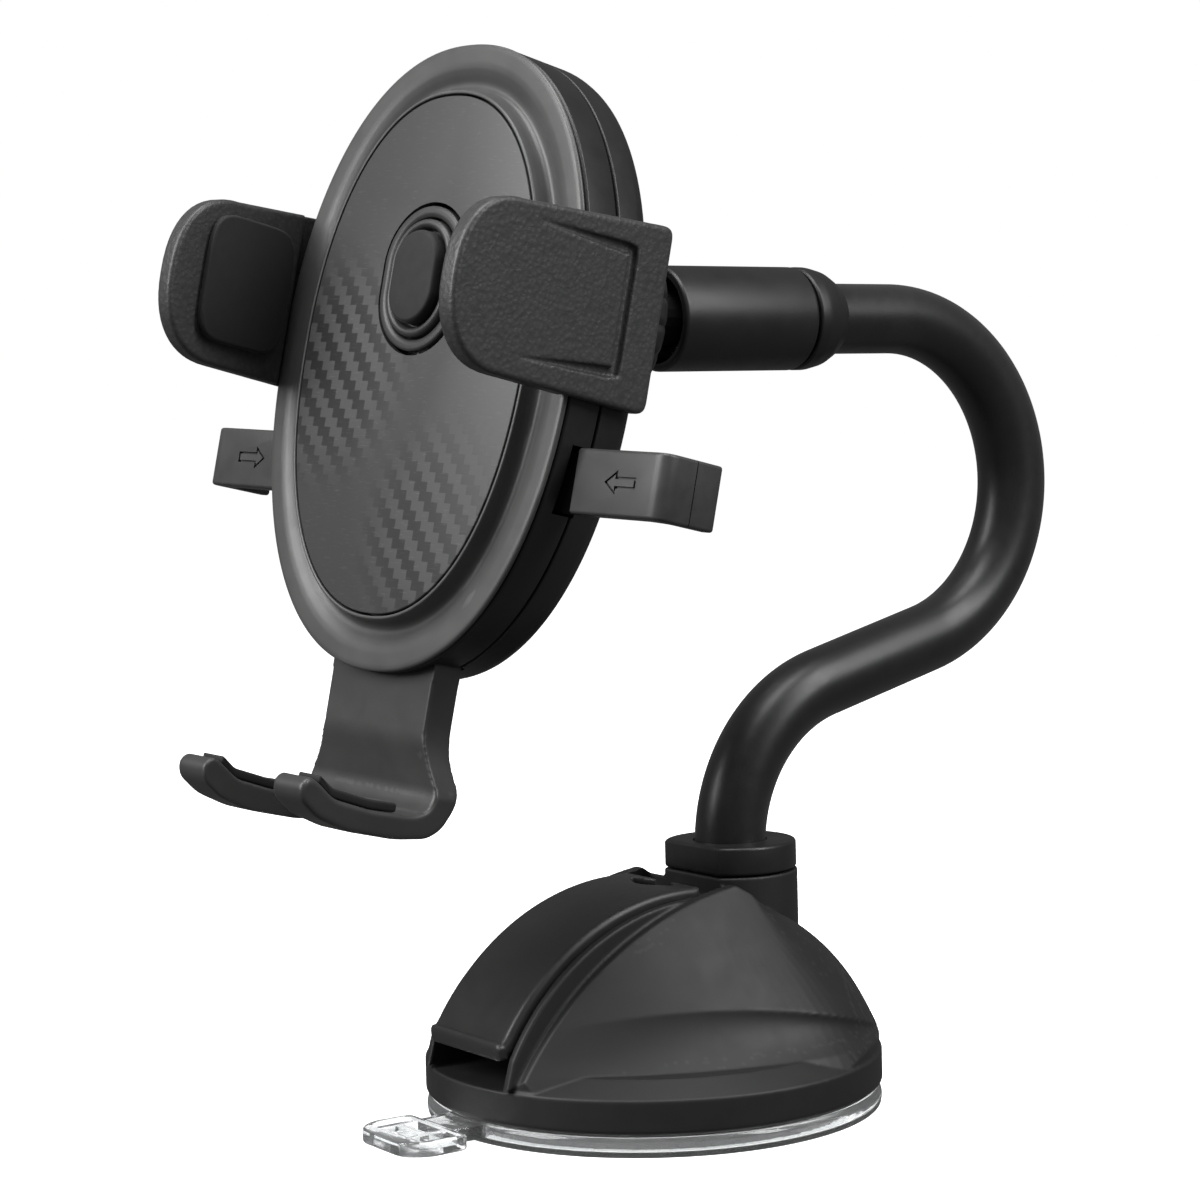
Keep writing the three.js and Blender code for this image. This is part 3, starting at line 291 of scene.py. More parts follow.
def slab(outline, low, high, radius=0.5, steps=4):
    """Rings of a plate between two depths, its edges rounded; outline is (x, y) points."""
    if area(outline) < 0:
        outline = outline[::-1]
    rings = []
    for i in range(steps + 1):
        angle = 90 * DEG * i / steps
        drop = radius * (1 - math.sin(angle))
        rings.append([(x, y, low + radius - radius * math.cos(angle)) for x, y in inset(outline, drop)])
    for i in range(steps + 1):
        angle = 90 * DEG * i / steps
        drop = radius * (1 - math.cos(angle))
        rings.append([(x, y, high - radius + radius * math.sin(angle)) for x, y in inset(outline, drop)])
    return rings


def turned(profile, count):
    """Rings of a turned shape about Z from (radius, z) points."""
    rings = []
    for radius, z in profile:
        ring = []
        for i in range(count):
            angle = 2 * math.pi * i / count
            ring.append((radius * math.cos(angle), radius * math.sin(angle), z))
        rings.append(ring)
    return rings


def soft_profile(points, radius, steps=4, closed=True):
    """A profile with its corners rounded, kept open at both ends unless it is closed."""
    if closed:
        return rounded(points, radius, steps)
    return rounded(points, [0] + [radius] * (len(points) - 2) + [0], steps)


def mapped(rings, fn):
    """The same rings with every point's three numbers passed through fn."""
    return [[fn(*p) for p in ring] for ring in rings]


def apply_modifiers(obj):
    """Turns what the modifiers make into the object's own mesh."""
    depsgraph = bpy.context.evaluated_depsgraph_get()
    mesh = bpy.data.meshes.new_from_object(obj.evaluated_get(depsgraph))
    obj.modifiers.clear()
    old = obj.data
    obj.data = mesh
    bpy.data.meshes.remove(old)


def discard(objects):
    for obj in objects:
        mesh = obj.data
        bpy.data.objects.remove(obj)
        bpy.data.meshes.remove(mesh)


def combine(obj, others, operation):
    """Cuts, joins or keeps the common part of obj and each other solid, then removes the others."""
    for other in others:
        modifier = obj.modifiers.new("combine", "BOOLEAN")
        modifier.operation = operation
        modifier.solver = "EXACT"
        modifier.object = other
    apply_modifiers(obj)
    discard(others)
    return obj


def melted(obj, voxel, smooth, keep=1.0):
    """Remeshes a solid finely and rounds its edges; keep is the share of faces that stay."""
    remesh = obj.modifiers.new("remesh", "REMESH")
    remesh.mode = "VOXEL"
    remesh.voxel_size = voxel * MM
    relax = obj.modifiers.new("relax", "SMOOTH")
    relax.factor = 0.5
    relax.iterations = smooth
    if keep < 1:
        thin = obj.modifiers.new("thin", "DECIMATE")
        thin.ratio = keep
    apply_modifiers(obj)
    for polygon in obj.data.polygons:
        polygon.use_smooth = True
    return obj


def crisp(obj, sharp=35.0):
    """Shades a cut mesh smooth again, with hard edges at its corners."""
    bm = bmesh.new()
    bm.from_mesh(obj.data)
    finish_shading(bm, sharp)
    bm.to_mesh(obj.data)
    bm.free()
    return obj


def block(x0, x1, y0, y1, z0, z1):
    """A plain box, used to cut or join."""
    corners = [(x0, y0), (x1, y0), (x1, y1), (x0, y1)]
    return make_mesh("cutter", *skin([[(x, y, z) for x, y in corners] for z in (z0, z1)]))


def rod(radius, start, end, count=64):
    """A plain cylinder between two points, used to cut or join."""
    start = Vector(start)
    along = Vector(end) - start
    turn = along.to_track_quat("Z", "Y")
    rings = []
    for distance in (0.0, along.length):
        ring = []
        for i in range(count):
            angle = 2 * math.pi * i / count
            point = Vector((radius * math.cos(angle), radius * math.sin(angle), distance))
            ring.append(tuple(start + turn @ point))
        rings.append(ring)
    return make_mesh("cutter", *skin(rings))


def place(obj, material, body, nodes=(), matrix=None):
    """Puts a finished piece in the scene: its material, its CAD body and the nodes it stands for."""
    obj.data.materials.clear()
    obj.data.materials.append(material)
    if matrix is not None:
        obj.matrix_world = matrix
    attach(obj, body)
    if nodes:
        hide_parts(*nodes)
    return obj


# ---- Materials ---------------------------------------------------------------------------------
class Nodes:
    """A short way to build a material's node tree."""

    def __init__(self, name):
        self.material = bpy.data.materials.new(name)
        self.material.use_nodes = True
        self.tree = self.material.node_tree
        self.shader = self.tree.nodes["Principled BSDF"]
        self.coords = self.tree.nodes.new("ShaderNodeTexCoord")

    def add(self, kind, **settings):
        node = self.tree.nodes.new(kind)
        for key, value in settings.items():
            setattr(node, key, value)
        return node

    def link(self, a, b):
        self.tree.links.new(a, b)

    def math(self, operation, a, b=None):
        node = self.add("ShaderNodeMath", operation=operation)
        for socket, value in zip(node.inputs, (a, b)):
            if value is None:
                continue
            if isinstance(value, (int, float)):
                socket.default_value = value
            else:
                self.link(value, socket)
        return node.outputs[0]

    def noise(self, scale, detail=4.0, roughness=0.5, vector=None):
        node = self.add("ShaderNodeTexNoise")
        node.inputs["Scale"].default_value = scale
        node.inputs["Detail"].default_value = detail
        node.inputs["Roughness"].default_value = roughness
        self.link(vector or self.coords.outputs["Object"], node.inputs["Vector"])
        return node.outputs["Fac"]

    def ramp(self, factor, stops):
        node = self.add("ShaderNodeValToRGB")
        elements = node.color_ramp.elements
        while len(elements) < len(stops):
            elements.new(0.5)
        for element, (position, colour) in zip(elements, stops):
            element.position = position
            element.color = (*colour, 1.0)
        self.link(factor, node.inputs["Fac"])
        return node.outputs["Color"]

    def span(self, factor, low, high):
        node = self.add("ShaderNodeMapRange")
        node.inputs["To Min"].default_value = low
        node.inputs["To Max"].default_value = high
        self.link(factor, node.inputs["Value"])
        return node.outputs["Result"]

    def bump(self, height, strength, distance):
        node = self.add("ShaderNodeBump")
        node.inputs["Strength"].default_value = strength
        node.inputs["Distance"].default_value = distance * MM
        self.link(height, node.inputs["Height"])
        self.link(node.outputs["Normal"], self.shader.inputs["Normal"])


def grey(value, tint=0.0):
    """A grey as (red, green, blue); a tint above 0 warms it."""
    return (value * (1 + tint), value, value * (1 - tint))


def moulded(name, base, roughness, grain=0.35, wear_and_highlight=0.5):
    """Moulded plastic: a faint colour drift, fine grain, uneven gloss and lighter edges, partly wear and
    partly a painted highlight.
    """
    m = Nodes(name)
    drift = m.noise(60.0, 3.0)
    body = m.ramp(drift, [(0.3, grey(base * 0.88)), (0.7, grey(base * 1.12, 0.01))])
    geometry = m.add("ShaderNodeNewGeometry")
    # Convex edges are painted lighter: partly wear, partly a painted highlight along the edges.
    edge = m.ramp(geometry.outputs["Pointiness"], [(0.505, grey(0.0)), (0.56, grey(1.0))])
    scuff_and_highlight = m.math("MULTIPLY", m.noise(420.0, 3.0), edge)
    mix = m.add("ShaderNodeMix", data_type="RGBA")
    m.link(m.math("MULTIPLY", scuff_and_highlight, wear_and_highlight), mix.inputs["Factor"])
    m.link(body, mix.inputs["A"])
    mix.inputs["B"].default_value = (*grey(base * 2.6), 1.0)
    m.link(mix.outputs["Result"], m.shader.inputs["Base Color"])
    gloss = m.span(m.noise(240.0, 5.0, 0.6), roughness - 0.10, roughness + 0.10)
    m.link(gloss, m.shader.inputs["Roughness"])
    m.shader.inputs["Specular IOR Level"].default_value = 0.5
    m.bump(m.noise(1000.0 / 0.35, 4.0, 0.65), grain, 0.03)
    return m.material


def leather(name, base, roughness):
    """Plastic with a shallow leather grain: rounded cells with creases between them, the creases painted
    darker as shade.
    """
    m = Nodes(name)
    warp = m.noise(380.0, 2.0)
    vector = m.add("ShaderNodeVectorMath", operation="MULTIPLY_ADD")
    m.link(warp, vector.inputs[0])
    vector.inputs[1].default_value = (0.0009, 0.0009, 0.0009)
    m.link(m.coords.outputs["Object"], vector.inputs[2])
    cells = m.add("ShaderNodeTexVoronoi", feature="SMOOTH_F1")
    cells.inputs["Scale"].default_value = 1250.0
    cells.inputs["Smoothness"].default_value = 0.6
    m.link(vector.outputs["Vector"], cells.inputs["Vector"])
    fine = m.noise(2600.0, 3.0)
    height = m.math("ADD", cells.outputs["Distance"], m.math("MULTIPLY", fine, 0.5))
    # The cell tops are lighter and the creases between them darker: painted shade in the creases.
    shade = m.ramp(cells.outputs["Distance"], [(0.1, grey(base * 1.15)), (0.8, grey(base * 0.82))])
    m.link(shade, m.shader.inputs["Base Color"])
    m.link(m.span(m.noise(300.0, 4.0), roughness - 0.08, roughness + 0.1), m.shader.inputs["Roughness"])
    m.bump(height, 0.55, 0.10)
    return m.material


def twill(name, base):
    """A woven-look film: stepped diagonal threads in two faint patches, and short fine dashes."""
    m = Nodes(name)
    split = m.add("ShaderNodeSeparateXYZ")
    m.link(m.coords.outputs["Object"], split.inputs[0])
    cell = 1.55 * MM
    column = m.math("FLOOR", m.math("DIVIDE", split.outputs["X"], cell))
    row = m.math("FLOOR", m.math("DIVIDE", split.outputs["Y"], cell))
    phase = m.math("FLOORED_MODULO", m.math("ADD", column, row), 4.0)
    over = m.math("LESS_THAN", phase, 1.5)
    patch = m.math("MAXIMUM", near(m, (-18.0, -3.0), 22.0), near(m, (14.0, -28.0), 22.0))
    stretch = m.add("ShaderNodeMapping")
    stretch.inputs["Scale"].default_value = (450.0, 3600.0, 450.0)
    m.link(m.coords.outputs["Object"], stretch.inputs["Vector"])
    dashes = m.noise(1.0, 2.0, 0.5, stretch.outputs["Vector"])
    fleck = m.ramp(dashes, [(0.60, grey(0.0)), (0.74, grey(1.0))])
    contrast = m.math("MULTIPLY", m.math("SUBTRACT", over, 0.5), patch)
    level = m.math("ADD", m.math("MULTIPLY", contrast, 0.55), m.math("MULTIPLY", fleck, 0.35))
    shade = m.math("ADD", level, 0.4)
    colour = m.ramp(shade, [(0.0, grey(base * 0.45)), (0.4, grey(base)), (1.0, grey(base * 1.9))])
    m.link(colour, m.shader.inputs["Base Color"])
    m.link(m.span(m.math("ADD", contrast, 0.5), 0.36, 0.50), m.shader.inputs["Roughness"])
    m.bump(m.math("ADD", contrast, m.math("MULTIPLY", fleck, 0.5)), 0.2, 0.04)
    return m.material


def near(m, centre, reach):
    """Falls from 1 to 0 with the distance from a point of the face, in millimetres."""
    away = m.add("ShaderNodeVectorMath", operation="DISTANCE")
    m.link(m.coords.outputs["Object"], away.inputs[0])
    away.inputs[1].default_value = (centre[0] * MM, centre[1] * MM, PLATE_FRONT * MM)
    fade = m.add("ShaderNodeMapRange", interpolation_type="SMOOTHSTEP")
    fade.inputs["From Min"].default_value = reach * 0.35 * MM
    fade.inputs["From Max"].default_value = reach * MM
    fade.inputs["To Min"].default_value = 1.0
    fade.inputs["To Max"].default_value = 0.0
    m.link(away.outputs["Value"], fade.inputs["Value"])
    return fade.outputs["Result"]


def rubber(name, base, roughness):
    """Soft black rubber: fine pores, faint dust and a broad sheen."""
    m = Nodes(name)
    dust = m.ramp(m.noise(90.0, 6.0, 0.7), [(0.45, grey(base)), (0.8, grey(base * 1.7))])
    m.link(dust, m.shader.inputs["Base Color"])
    gloss = m.span(m.noise(500.0, 5.0, 0.6), roughness - 0.07, roughness + 0.09)
    m.link(gloss, m.shader.inputs["Roughness"])
    m.shader.inputs["Sheen Weight"].default_value = 0.08
    m.shader.inputs["Sheen Roughness"].default_value = 0.5
    m.bump(m.noise(3800.0, 3.0), 0.25, 0.02)
    return m.material


def clear_plastic(name):
    """Clear soft plastic with flow marks and a slightly hazy surface."""
    m = Nodes(name)
    tint = m.ramp(m.noise(45.0, 3.0), [(0.3, (0.86, 0.88, 0.89)), (0.7, (0.97, 0.98, 0.98))])
    m.link(tint, m.shader.inputs["Base Color"])
    m.shader.inputs["Transmission Weight"].default_value = 0.94
    m.shader.inputs["IOR"].default_value = 1.46
    m.link(m.span(m.noise(120.0, 4.0), 0.03, 0.16), m.shader.inputs["Roughness"])
    m.bump(m.noise(170.0, 3.0), 0.18, 0.5)
    return m.material


def metal(name, base, roughness):
    """Plated steel: drawn streaks, small stains and uneven polish."""
    m = Nodes(name)
    stretch = m.add("ShaderNodeMapping")
    stretch.inputs["Scale"].default_value = (2400.0, 2400.0, 160.0)
    m.link(m.coords.outputs["Object"], stretch.inputs["Vector"])
    streaks = m.noise(1.0, 3.0, 0.5, stretch.outputs["Vector"])
    stains = m.ramp(m.noise(150.0, 4.0), [(0.3, grey(base * 0.8)), (0.7, grey(base, 0.02))])
    m.link(stains, m.shader.inputs["Base Color"])
    m.shader.inputs["Metallic"].default_value = 1.0
    m.link(m.span(streaks, roughness - 0.1, roughness + 0.15), m.shader.inputs["Roughness"])
    m.bump(streaks, 0.2, 0.02)
    return m.material


BLACK = moulded("black_abs", 0.013, 0.40)
DOME = moulded("dome_abs", 0.014, 0.54, grain=0.2, wear_and_highlight=0.8)
LEVER_FINISH = moulded("lever_abs", 0.022, 0.40, grain=0.15, wear_and_highlight=0.8)
BEZEL = moulded("bezel_abs", 0.075, 0.38, grain=0.1)
CHARCOAL = moulded("charcoal_abs", 0.040, 0.42, grain=0.3)
GRAINED = leather("grained_abs", 0.046, 0.42)
TWILL = twill("woven_film", 0.052)
NECK = rubber("neck_rubber", 0.010, 0.36)
PAD = rubber("pad_rubber", 0.003, 0.70)
CLEAR = clear_plastic("clear_tpu")
NYLON = moulded("white_nylon", 0.62, 0.5, wear_and_highlight=0.1)
STEEL = metal("plated_steel", 0.55, 0.32)


# ---- Suction base ------------------------------------------------------------------------------
def front_arch(z):
    """The dome's front edge seen from the side: its y at a height."""
    y, centre, radius = RIM_ARCH
    return y - math.sqrt(radius ** 2 - (z - centre) ** 2)


def rear_arch(z):
    """The dome's rear edge from the side, straight from its shoulder up to the apex."""
    y, centre, radius = REAR_ARCH
    shoulder = 33.3
    apex = 7.7
    reach = y + math.sqrt(radius ** 2 - (min(z, shoulder) - centre) ** 2)
    if z <= shoulder:
        return reach
    return reach + (apex - reach) * (z - shoulder) / (DOME_TOP - shoulder)


def dome_width(z, y):
    """How far the dome bulges beyond its arches: a leaning face, then a hollowed scoop below."""
    lean = SIDE_SLOPE * (DOME_TOP - z)
    crease = 20.6 - 0.005 * (y + 10) ** 2
    drop = crease - z
    if drop <= 0:
        return lean
    depth = max(crease - LEDGE_TOP, 0.5)
    share = min(drop / depth, 1.0)
    hollow = SCOOP_HOLLOW * 4 * share * (1 - share)
    return SIDE_SLOPE * (DOME_TOP - crease) + SCOOP_SLOPE * drop - hollow


def dome_ring(z):
    """The dome's outline at a height: two bulging sides between its front and rear edges."""
    limit = 37.2
    front = max(front_arch(z), -limit)
    rear = min(rear_arch(z), limit)
    half = (rear - front) / 2
    middle = (rear + front) / 2
    ring = []
    steps = 48
    for side in (1, -1):
        for i in range(steps + 1):
            y = middle - side * half * math.cos(math.pi * i / steps)
            end = front if y < WIDEST_Y else rear
            t = (y - WIDEST_Y) / (end - WIDEST_Y)
            bulge = max(dome_width(z, y), 0.02) * max(1 - t * t, 0)
            ring.append((side * (SPINE_HALF + bulge), y, z))
    return ring


def base_housing():
    """The dome, its flange and its post, with the lever's slot and the bores cut out."""
    start = 9.0
    levels = [start + (DOME_TOP - start) * i / 90 for i in range(91)]
    housing = make_mesh("base_shell", *skin([dome_ring(z) for z in levels]))
    limit = rod(FLANGE_RADIUS - 0.4, (0, 0, 5), (0, 0, 60), 160)
    combine(housing, [limit], "INTERSECT")
    profile = [
        (20, 1.5), (33, SKIRT_BOTTOM), (SKIRT_RADIUS - 0.1, SKIRT_BOTTOM),
        (SKIRT_RADIUS, FLANGE_BOTTOM - 0.3), (FLANGE_RADIUS - 0.5, FLANGE_BOTTOM),
        (FLANGE_RADIUS, FLANGE_BOTTOM + 0.5), (FLANGE_RADIUS, FLANGE_TOP), (34.9, LEDGE_TOP),
        (20, LEDGE_TOP)]
    flange = make_mesh("flange", *skin(turned(profile, 200)))
    post = rod(POST_RADIUS, (0, POST_Y, 20), (0, POST_Y, POST_STEP - 0.25), 96)
    combine(housing, [flange, post, lever_ridge(1), lever_ridge(-1)], "UNION")
    cuts = [
        block(-SLOT_HALF, SLOT_HALF, -60, SLOT_BACK, FLANGE_TOP, 60),
        block(-12.5, 12.5, 0, SLOT_BACK + 0.5, DOME_TOP - 3.4, 60),
        rod(NECK_RADIUS + 0.3, (0, POST_Y, 30), (0, POST_Y, 60)),
        rod(STEM_BORE, (0, 0, 0), (0, 0, 20)),
        rod(UNDERSIDE_RADIUS, (0, 0, -1), (0, 0, UNDERSIDE_TOP), 160),
    ]
    combine(housing, cuts, "DIFFERENCE")
    melted(housing, 0.25, 1)
    place(housing, DOME, "base", ["base_housing"])


def lever_ridge(side):
    """A thin wall beside the lever, just below its top, that ends as a post by the finger gap."""
    outer = LEVER_ARCH[2] - 1.5
    steps = 30
    angles = [(152 - 66 * i / steps) * DEG for i in range(steps + 1)]
    top = [arch_point(outer, a) for a in angles]
    under = [arch_point(36, a) for a in angles[::-1]]
    outline = [(-38.0, 9.5)] + top + under
    low, high = sorted((side * (SLOT_HALF - 0.2), side * (SLOT_HALF + 1.5)))
    rings = slab(outline, low, high, 0.3, 2)
    return make_mesh("ridge", *skin(mapped(rings, lambda y, z, x: (x, y, z))))


def post_collar():
    """The collar round the neck's foot, with a flat side towards the lever."""
    radius = POST_RADIUS - 0.15
    flat = math.acos((POST_Y - SLOT_BACK - 0.45) / radius)
    outline = []
    for i in range(97):
        angle = (-90 * DEG + flat) + (360 * DEG - 2 * flat) * i / 96
        outline.append((radius * math.cos(angle), POST_Y + radius * math.sin(angle)))
    collar = make_mesh("post_collar", *skin(slab(outline, POST_STEP, POST_TOP, 0.6)))
    combine(collar, [rod(NECK_RADIUS + 0.25, (0, POST_Y, 30), (0, POST_Y, 60))], "DIFFERENCE")
    place(crisp(collar), BLACK, "base", ["neck_collar"])


def arch_point(radius, angle):
    """A point, as (y, z), on a circle round the lever arch's centre."""
    return (LEVER_ARCH[0] + radius * math.cos(angle), LEVER_ARCH[1] + radius * math.sin(angle))


def lock_lever():
    """The curved lever; its outline is drawn from the side and carried across."""
    outer = LEVER_ARCH[2]
    inner = outer - LEVER_THICK
    start = 147.5 * DEG
    end = 85.8 * DEG
    steps = 40
    angles = [start + (end - start) * i / steps for i in range(steps + 1)]
    lip = rounded([(-35.4, 14.0), (-38.0, 14.0), (-38.2, 16.2), (-37.6, 17.3)], [0.8, 0.5, 0.9, 0.6])
    top = [arch_point(outer, a) for a in angles]
    under = [arch_point(inner, a) for a in angles[::-1]]
    outline = top + under + lip
    rings = slab(outline, -LEVER_HALF, LEVER_HALF, 0.9)
    lever = make_mesh("lock_lever_shell", *skin(mapped(rings, lambda y, z, x: (x, y, z))))
    almond = make_mesh("cutter", *skin(slab(almond_outline(), 30, 45, 0.1)))
    room = rod(5.8, (-6.9, *PIVOT), (6.9, *PIVOT))
    combine(lever, [almond, room], "DIFFERENCE")
    melted(lever, 0.25, 3)
    place(lever, LEVER_FINISH, "lever", ["lock_lever"])


def almond_outline():
    """A pointed oval across the lever, over the cam drum."""
    half = 6.2
    depth = 2.7
    y = PIVOT[0] - 1.4
    front = [(x, y - depth * (1 - (x / half) ** 2)) for x in np.linspace(-half, half, 17)]
    rear = [(x, y + depth * (1 - (x / half) ** 2)) for x in np.linspace(half, -half, 17)]
    return front + rear[1:-1]


def cam_drum():
    """The ribbed drum under the lever's window."""
    teeth = 26
    outline = []
    for i in range(teeth * 8):
        angle = 2 * math.pi * i / (teeth * 8)
        radius = 5.15 + 0.22 * math.tanh(3 * math.cos(teeth * angle))
        outline.append((PIVOT[0] + radius * math.cos(angle), PIVOT[1] + radius * math.sin(angle)))
    rings = slab(outline, -6.6, 6.6, 0.3, 2)
    drum = make_mesh("cam_drum", *skin(mapped(rings, lambda y, z, x: (x, y, z))))
    place(drum, BLACK, "lever", ["lever_cam"])


def suction_cup():
    """The clear cup, its pull tab and the tab's recesses."""
    profile = soft_profile([
        (0.5, 0.9), (20, 0.5), (33, 0.02), (CUP_RADIUS - 0.2, 0.02), (CUP_RADIUS, 1.2),
        (CUP_RADIUS - 0.3, 2.6), (38.2, 3.2), (37.7, 3.2), (37.6, 0.8), (33, 0.7), (20, 1.1),
        (0.5, 1.3)], 0.3, 3, False)
    cup = make_mesh("cup_disc", *skin(turned(profile, 200)))
    link = [(-5, -43.5), (5, -43.5), (5.6, -36), (-5.6, -36)]
    neck = make_mesh("cutter", *skin(slab(link, 0.6, 3.0, 0.3)))
    tab = make_mesh("cutter", *skin(slab(tab_outline(), 0.4, 2.9, 0.5)))
    combine(cup, [neck, tab], "UNION")
    recesses = []
    for x in (-6.6, 6.6):
        recesses.append(block(x - 1.5, x + 1.5, -51.7, -45.0, 1.5, 4))
    for low, high in ((-51.7, -49.3), (-47.6, -45.0)):
        recesses.append(block(-3.7, 3.7, low, high, 1.5, 4))
    combine(cup, recesses, "DIFFERENCE")
    place(crisp(cup, 30), CLEAR, "base", ["suction_cup"])


def tab_outline():
    """The pull tab from above, as (x, y) points."""
    corners = [(-9.2, -43.0), (9.2, -43.0), (9.4, -50.5), (6.6, -54.3), (-6.6, -54.3), (-9.4, -50.5)]
    return rounded(corners, [1.6, 1.6, 2, 2.4, 2.4, 2])


# ---- Gooseneck ---------------------------------------------------------------------------------
LOWER_LENGTH = LOWER_RADIUS * LOWER_TURN
UPPER_LENGTH = UPPER_RADIUS * UPPER_TURN
NECK_LENGTH = LOWER_LENGTH + STRAIGHT + UPPER_LENGTH + END_RUN


def neck_point(distance):
    """The neck's centreline in the plane x = 0, and its heading angle above +Y."""
    y, z = NECK_FOOT
    if distance < 0:
        return y, z + distance, 90 * DEG
    lower = min(distance, LOWER_LENGTH) / LOWER_RADIUS
    y += LOWER_RADIUS * (1 - math.cos(lower))
    z += LOWER_RADIUS * math.sin(lower)
    heading = 90 * DEG - LOWER_TURN
    straight = min(max(distance - LOWER_LENGTH, 0), STRAIGHT)
    y += straight * math.cos(heading)
    z += straight * math.sin(heading)
    upper = min(max(distance - LOWER_LENGTH - STRAIGHT, 0), UPPER_LENGTH) / UPPER_RADIUS
    y += UPPER_RADIUS * (math.sin(heading + upper) - math.sin(heading))
    z += UPPER_RADIUS * (math.cos(heading) - math.cos(heading + upper))
    end = max(distance - LOWER_LENGTH - STRAIGHT - UPPER_LENGTH, 0)
    angle = 90 * DEG - lower if straight == 0 else heading + upper
    return y - end, z, angle


def neck_rings(start, end, radius):
    """Rings square to the neck's centreline between two distances along it."""
    step = 1.2
    count = 64
    rings = []
    spans = max(2, round((end - start) / step))
    for k in range(spans + 1):
        y, z, angle = neck_point(start + (end - start) * k / spans)
        ring = []
        for i in range(count):
            turn = 2 * math.pi * i / count
            across = radius * math.cos(turn)
            side = radius * math.sin(turn)
            ring.append((across, y - side * math.sin(angle), z + side * math.cos(angle)))
        rings.append(ring)
    return rings


def neck_skin():
    """One smooth hose in four pieces, split halfway between the neck's joints."""
    middles = [(a + b) / 2 for a, b in zip(NECK_BENDS, NECK_BENDS[1:])]
    cuts = [-8.0] + middles + [NECK_LENGTH - 2]
    for i, bend in enumerate(NECK_BENDS):
        rings = neck_rings(cuts[i], cuts[i + 1], NECK_RADIUS)
        piece = make_mesh(f"neck_hose_{i + 1}", *skin(rings))
        piece.data.materials.append(NECK)
        y0, z0, _ = neck_point(bend - BLEND_HALF)
        y1, z1, _ = neck_point(bend + BLEND_HALF)
        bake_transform(piece)
        nodes = [f"neck_sleeve_{i + 2}", f"neck_core_{i + 2}"]
        if i == 0:
            nodes += ["neck_sleeve_1", "neck_core_1"]
        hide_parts(*nodes)


def along_neck_axis(x, y, depth):
    """Places a turned shape's own z along +Y at the ball's height."""
    return (x, depth, BALL.z + y)


def end_fittings():
    """The nut at the neck's end and the sleeve that carries the ball."""
    bore = NECK_RADIUS + 0.02
    back = SLEEVE_BACK
    nut = soft_profile([
        (bore, back + 0.4), (8.7, back + 0.4), (9.0, back + 0.7), (9.0, back + 2.6),
        (8.4, back + 5.3), (7.2, back + 7.5), (bore, back + 8.7)], 0.5, 4, True)
    piece = make_mesh("neck_nut", *skin(mapped(turned(nut, 96), along_neck_axis), closed=True))
    place(piece, BLACK, "neck_5", ["neck_end_nut"])
    front = SLEEVE_FRONT
    sleeve = soft_profile([
        (7.6, front), (8.6, front), (9.0, front + 0.5), (9.0, back - 0.5), (8.6, back),
        (6.0, back), (6.0, front + 7), (7.6, front + 7)], 0.25, 3, True)
    piece = make_mesh("ball_sleeve", *skin(mapped(turned(sleeve, 96), along_neck_axis), closed=True))
    place(piece, BLACK, "neck_5", ["joint_sleeve"])


# ---- Ball joint --------------------------------------------------------------------------------
def ball_nut():
    """The clamping nut with shallow grip flutes round its rim."""
    ball_z = -BALL_BEHIND
    front = BODY_BACK - 2.7
    back = ball_z - 6.3
    profile = soft_profile([
        (14.5, front), (17.6, front), (NUT_RADIUS, front - 1.0), (NUT_RADIUS, back + 1.5),
        (17.8, back + 0.4), (16.6, back), (13, back), (9.5, ball_z - 3.7), (14.5, ball_z - 2.5)],
        0.7, 4, True)
    rings = []
    for radius, z in profile:
        ring = []
        for i in range(240):
            angle = 2 * math.pi * i / 240
            depth = 0.45 * max(0.0, math.cos(NUT_FLUTES * angle)) ** 4
            inside = min(max((radius - 17.0) / 1.0, 0), 1)
            r = radius - depth * inside
            ring.append((r * math.cos(angle), BALL_AXIS_Y + r * math.sin(angle), z))
        rings.append(ring)
    nut = make_mesh("clamp_nut", *skin(rings, closed=True), sharp=50)
    place(nut, BLACK, "nut", ["ball_nut"], CRADLE)


# ---- Cradle ------------------------------------------------------------------------------------
def oval_rings(profile):
    """Rings of the cradle's oval from (inset, z) points."""
    return [[(x, y, z) for x, y in oval(BODY_A - d, BODY_B - d, 176)] for d, z in profile]


def window_blocks():
    """The side windows for the arms and the levers, and the foot's mouth."""
    low, high = SEAM - 0.5, -3.3
    return [
        block(-60, -20, 2.7, 15.3, low, high), block(20, 60, 2.7, 15.3, low, high),
        block(-60, -20, -22.9, -12.3, low, high), block(20, 60, -22.9, -12.3, low, high),
        block(-12.9, 12.9, -60, -28, -8.5, -2.3),
    ]


def rear_shell():
    """The cradle's rear case, from its back to the seam."""
    rings = oval_rings(soft_profile([
        (30, BODY_BACK), (2.2, BODY_BACK), (0.5, BODY_BACK + 0.8), (0.05, BODY_BACK + 2.4),
        (0.05, SEAM - 0.35), (0.5, SEAM - 0.2), (2.4, SEAM - 0.2), (3.2, BODY_BACK + 2),
        (30, BODY_BACK + 2)], 0.6, 4, False))
    shell = make_mesh("rear_case", *skin(rings))
    combine(shell, window_blocks(), "DIFFERENCE")
    place(crisp(shell), BLACK, "cradle", ["rear_shell"], CRADLE)


def mid_frame():
    """The cradle's middle frame, from the seam to the bezel."""
    rings = oval_rings(soft_profile([
        (30, -3.2), (2.4, -3.2), (2.4, SEAM + 0.1), (0.4, SEAM + 0.1), (0.05, SEAM + 0.35),
        (0.05, -1.15), (0.5, -0.8), (2.4, -0.8), (2.4, -2.5), (30, -2.5)], 0.2, 3, False))
    middle = make_mesh("mid_case", *skin(rings))
    combine(middle, window_blocks(), "DIFFERENCE")
    place(crisp(middle), BLACK, "cradle", ["mid_frame"], CRADLE)


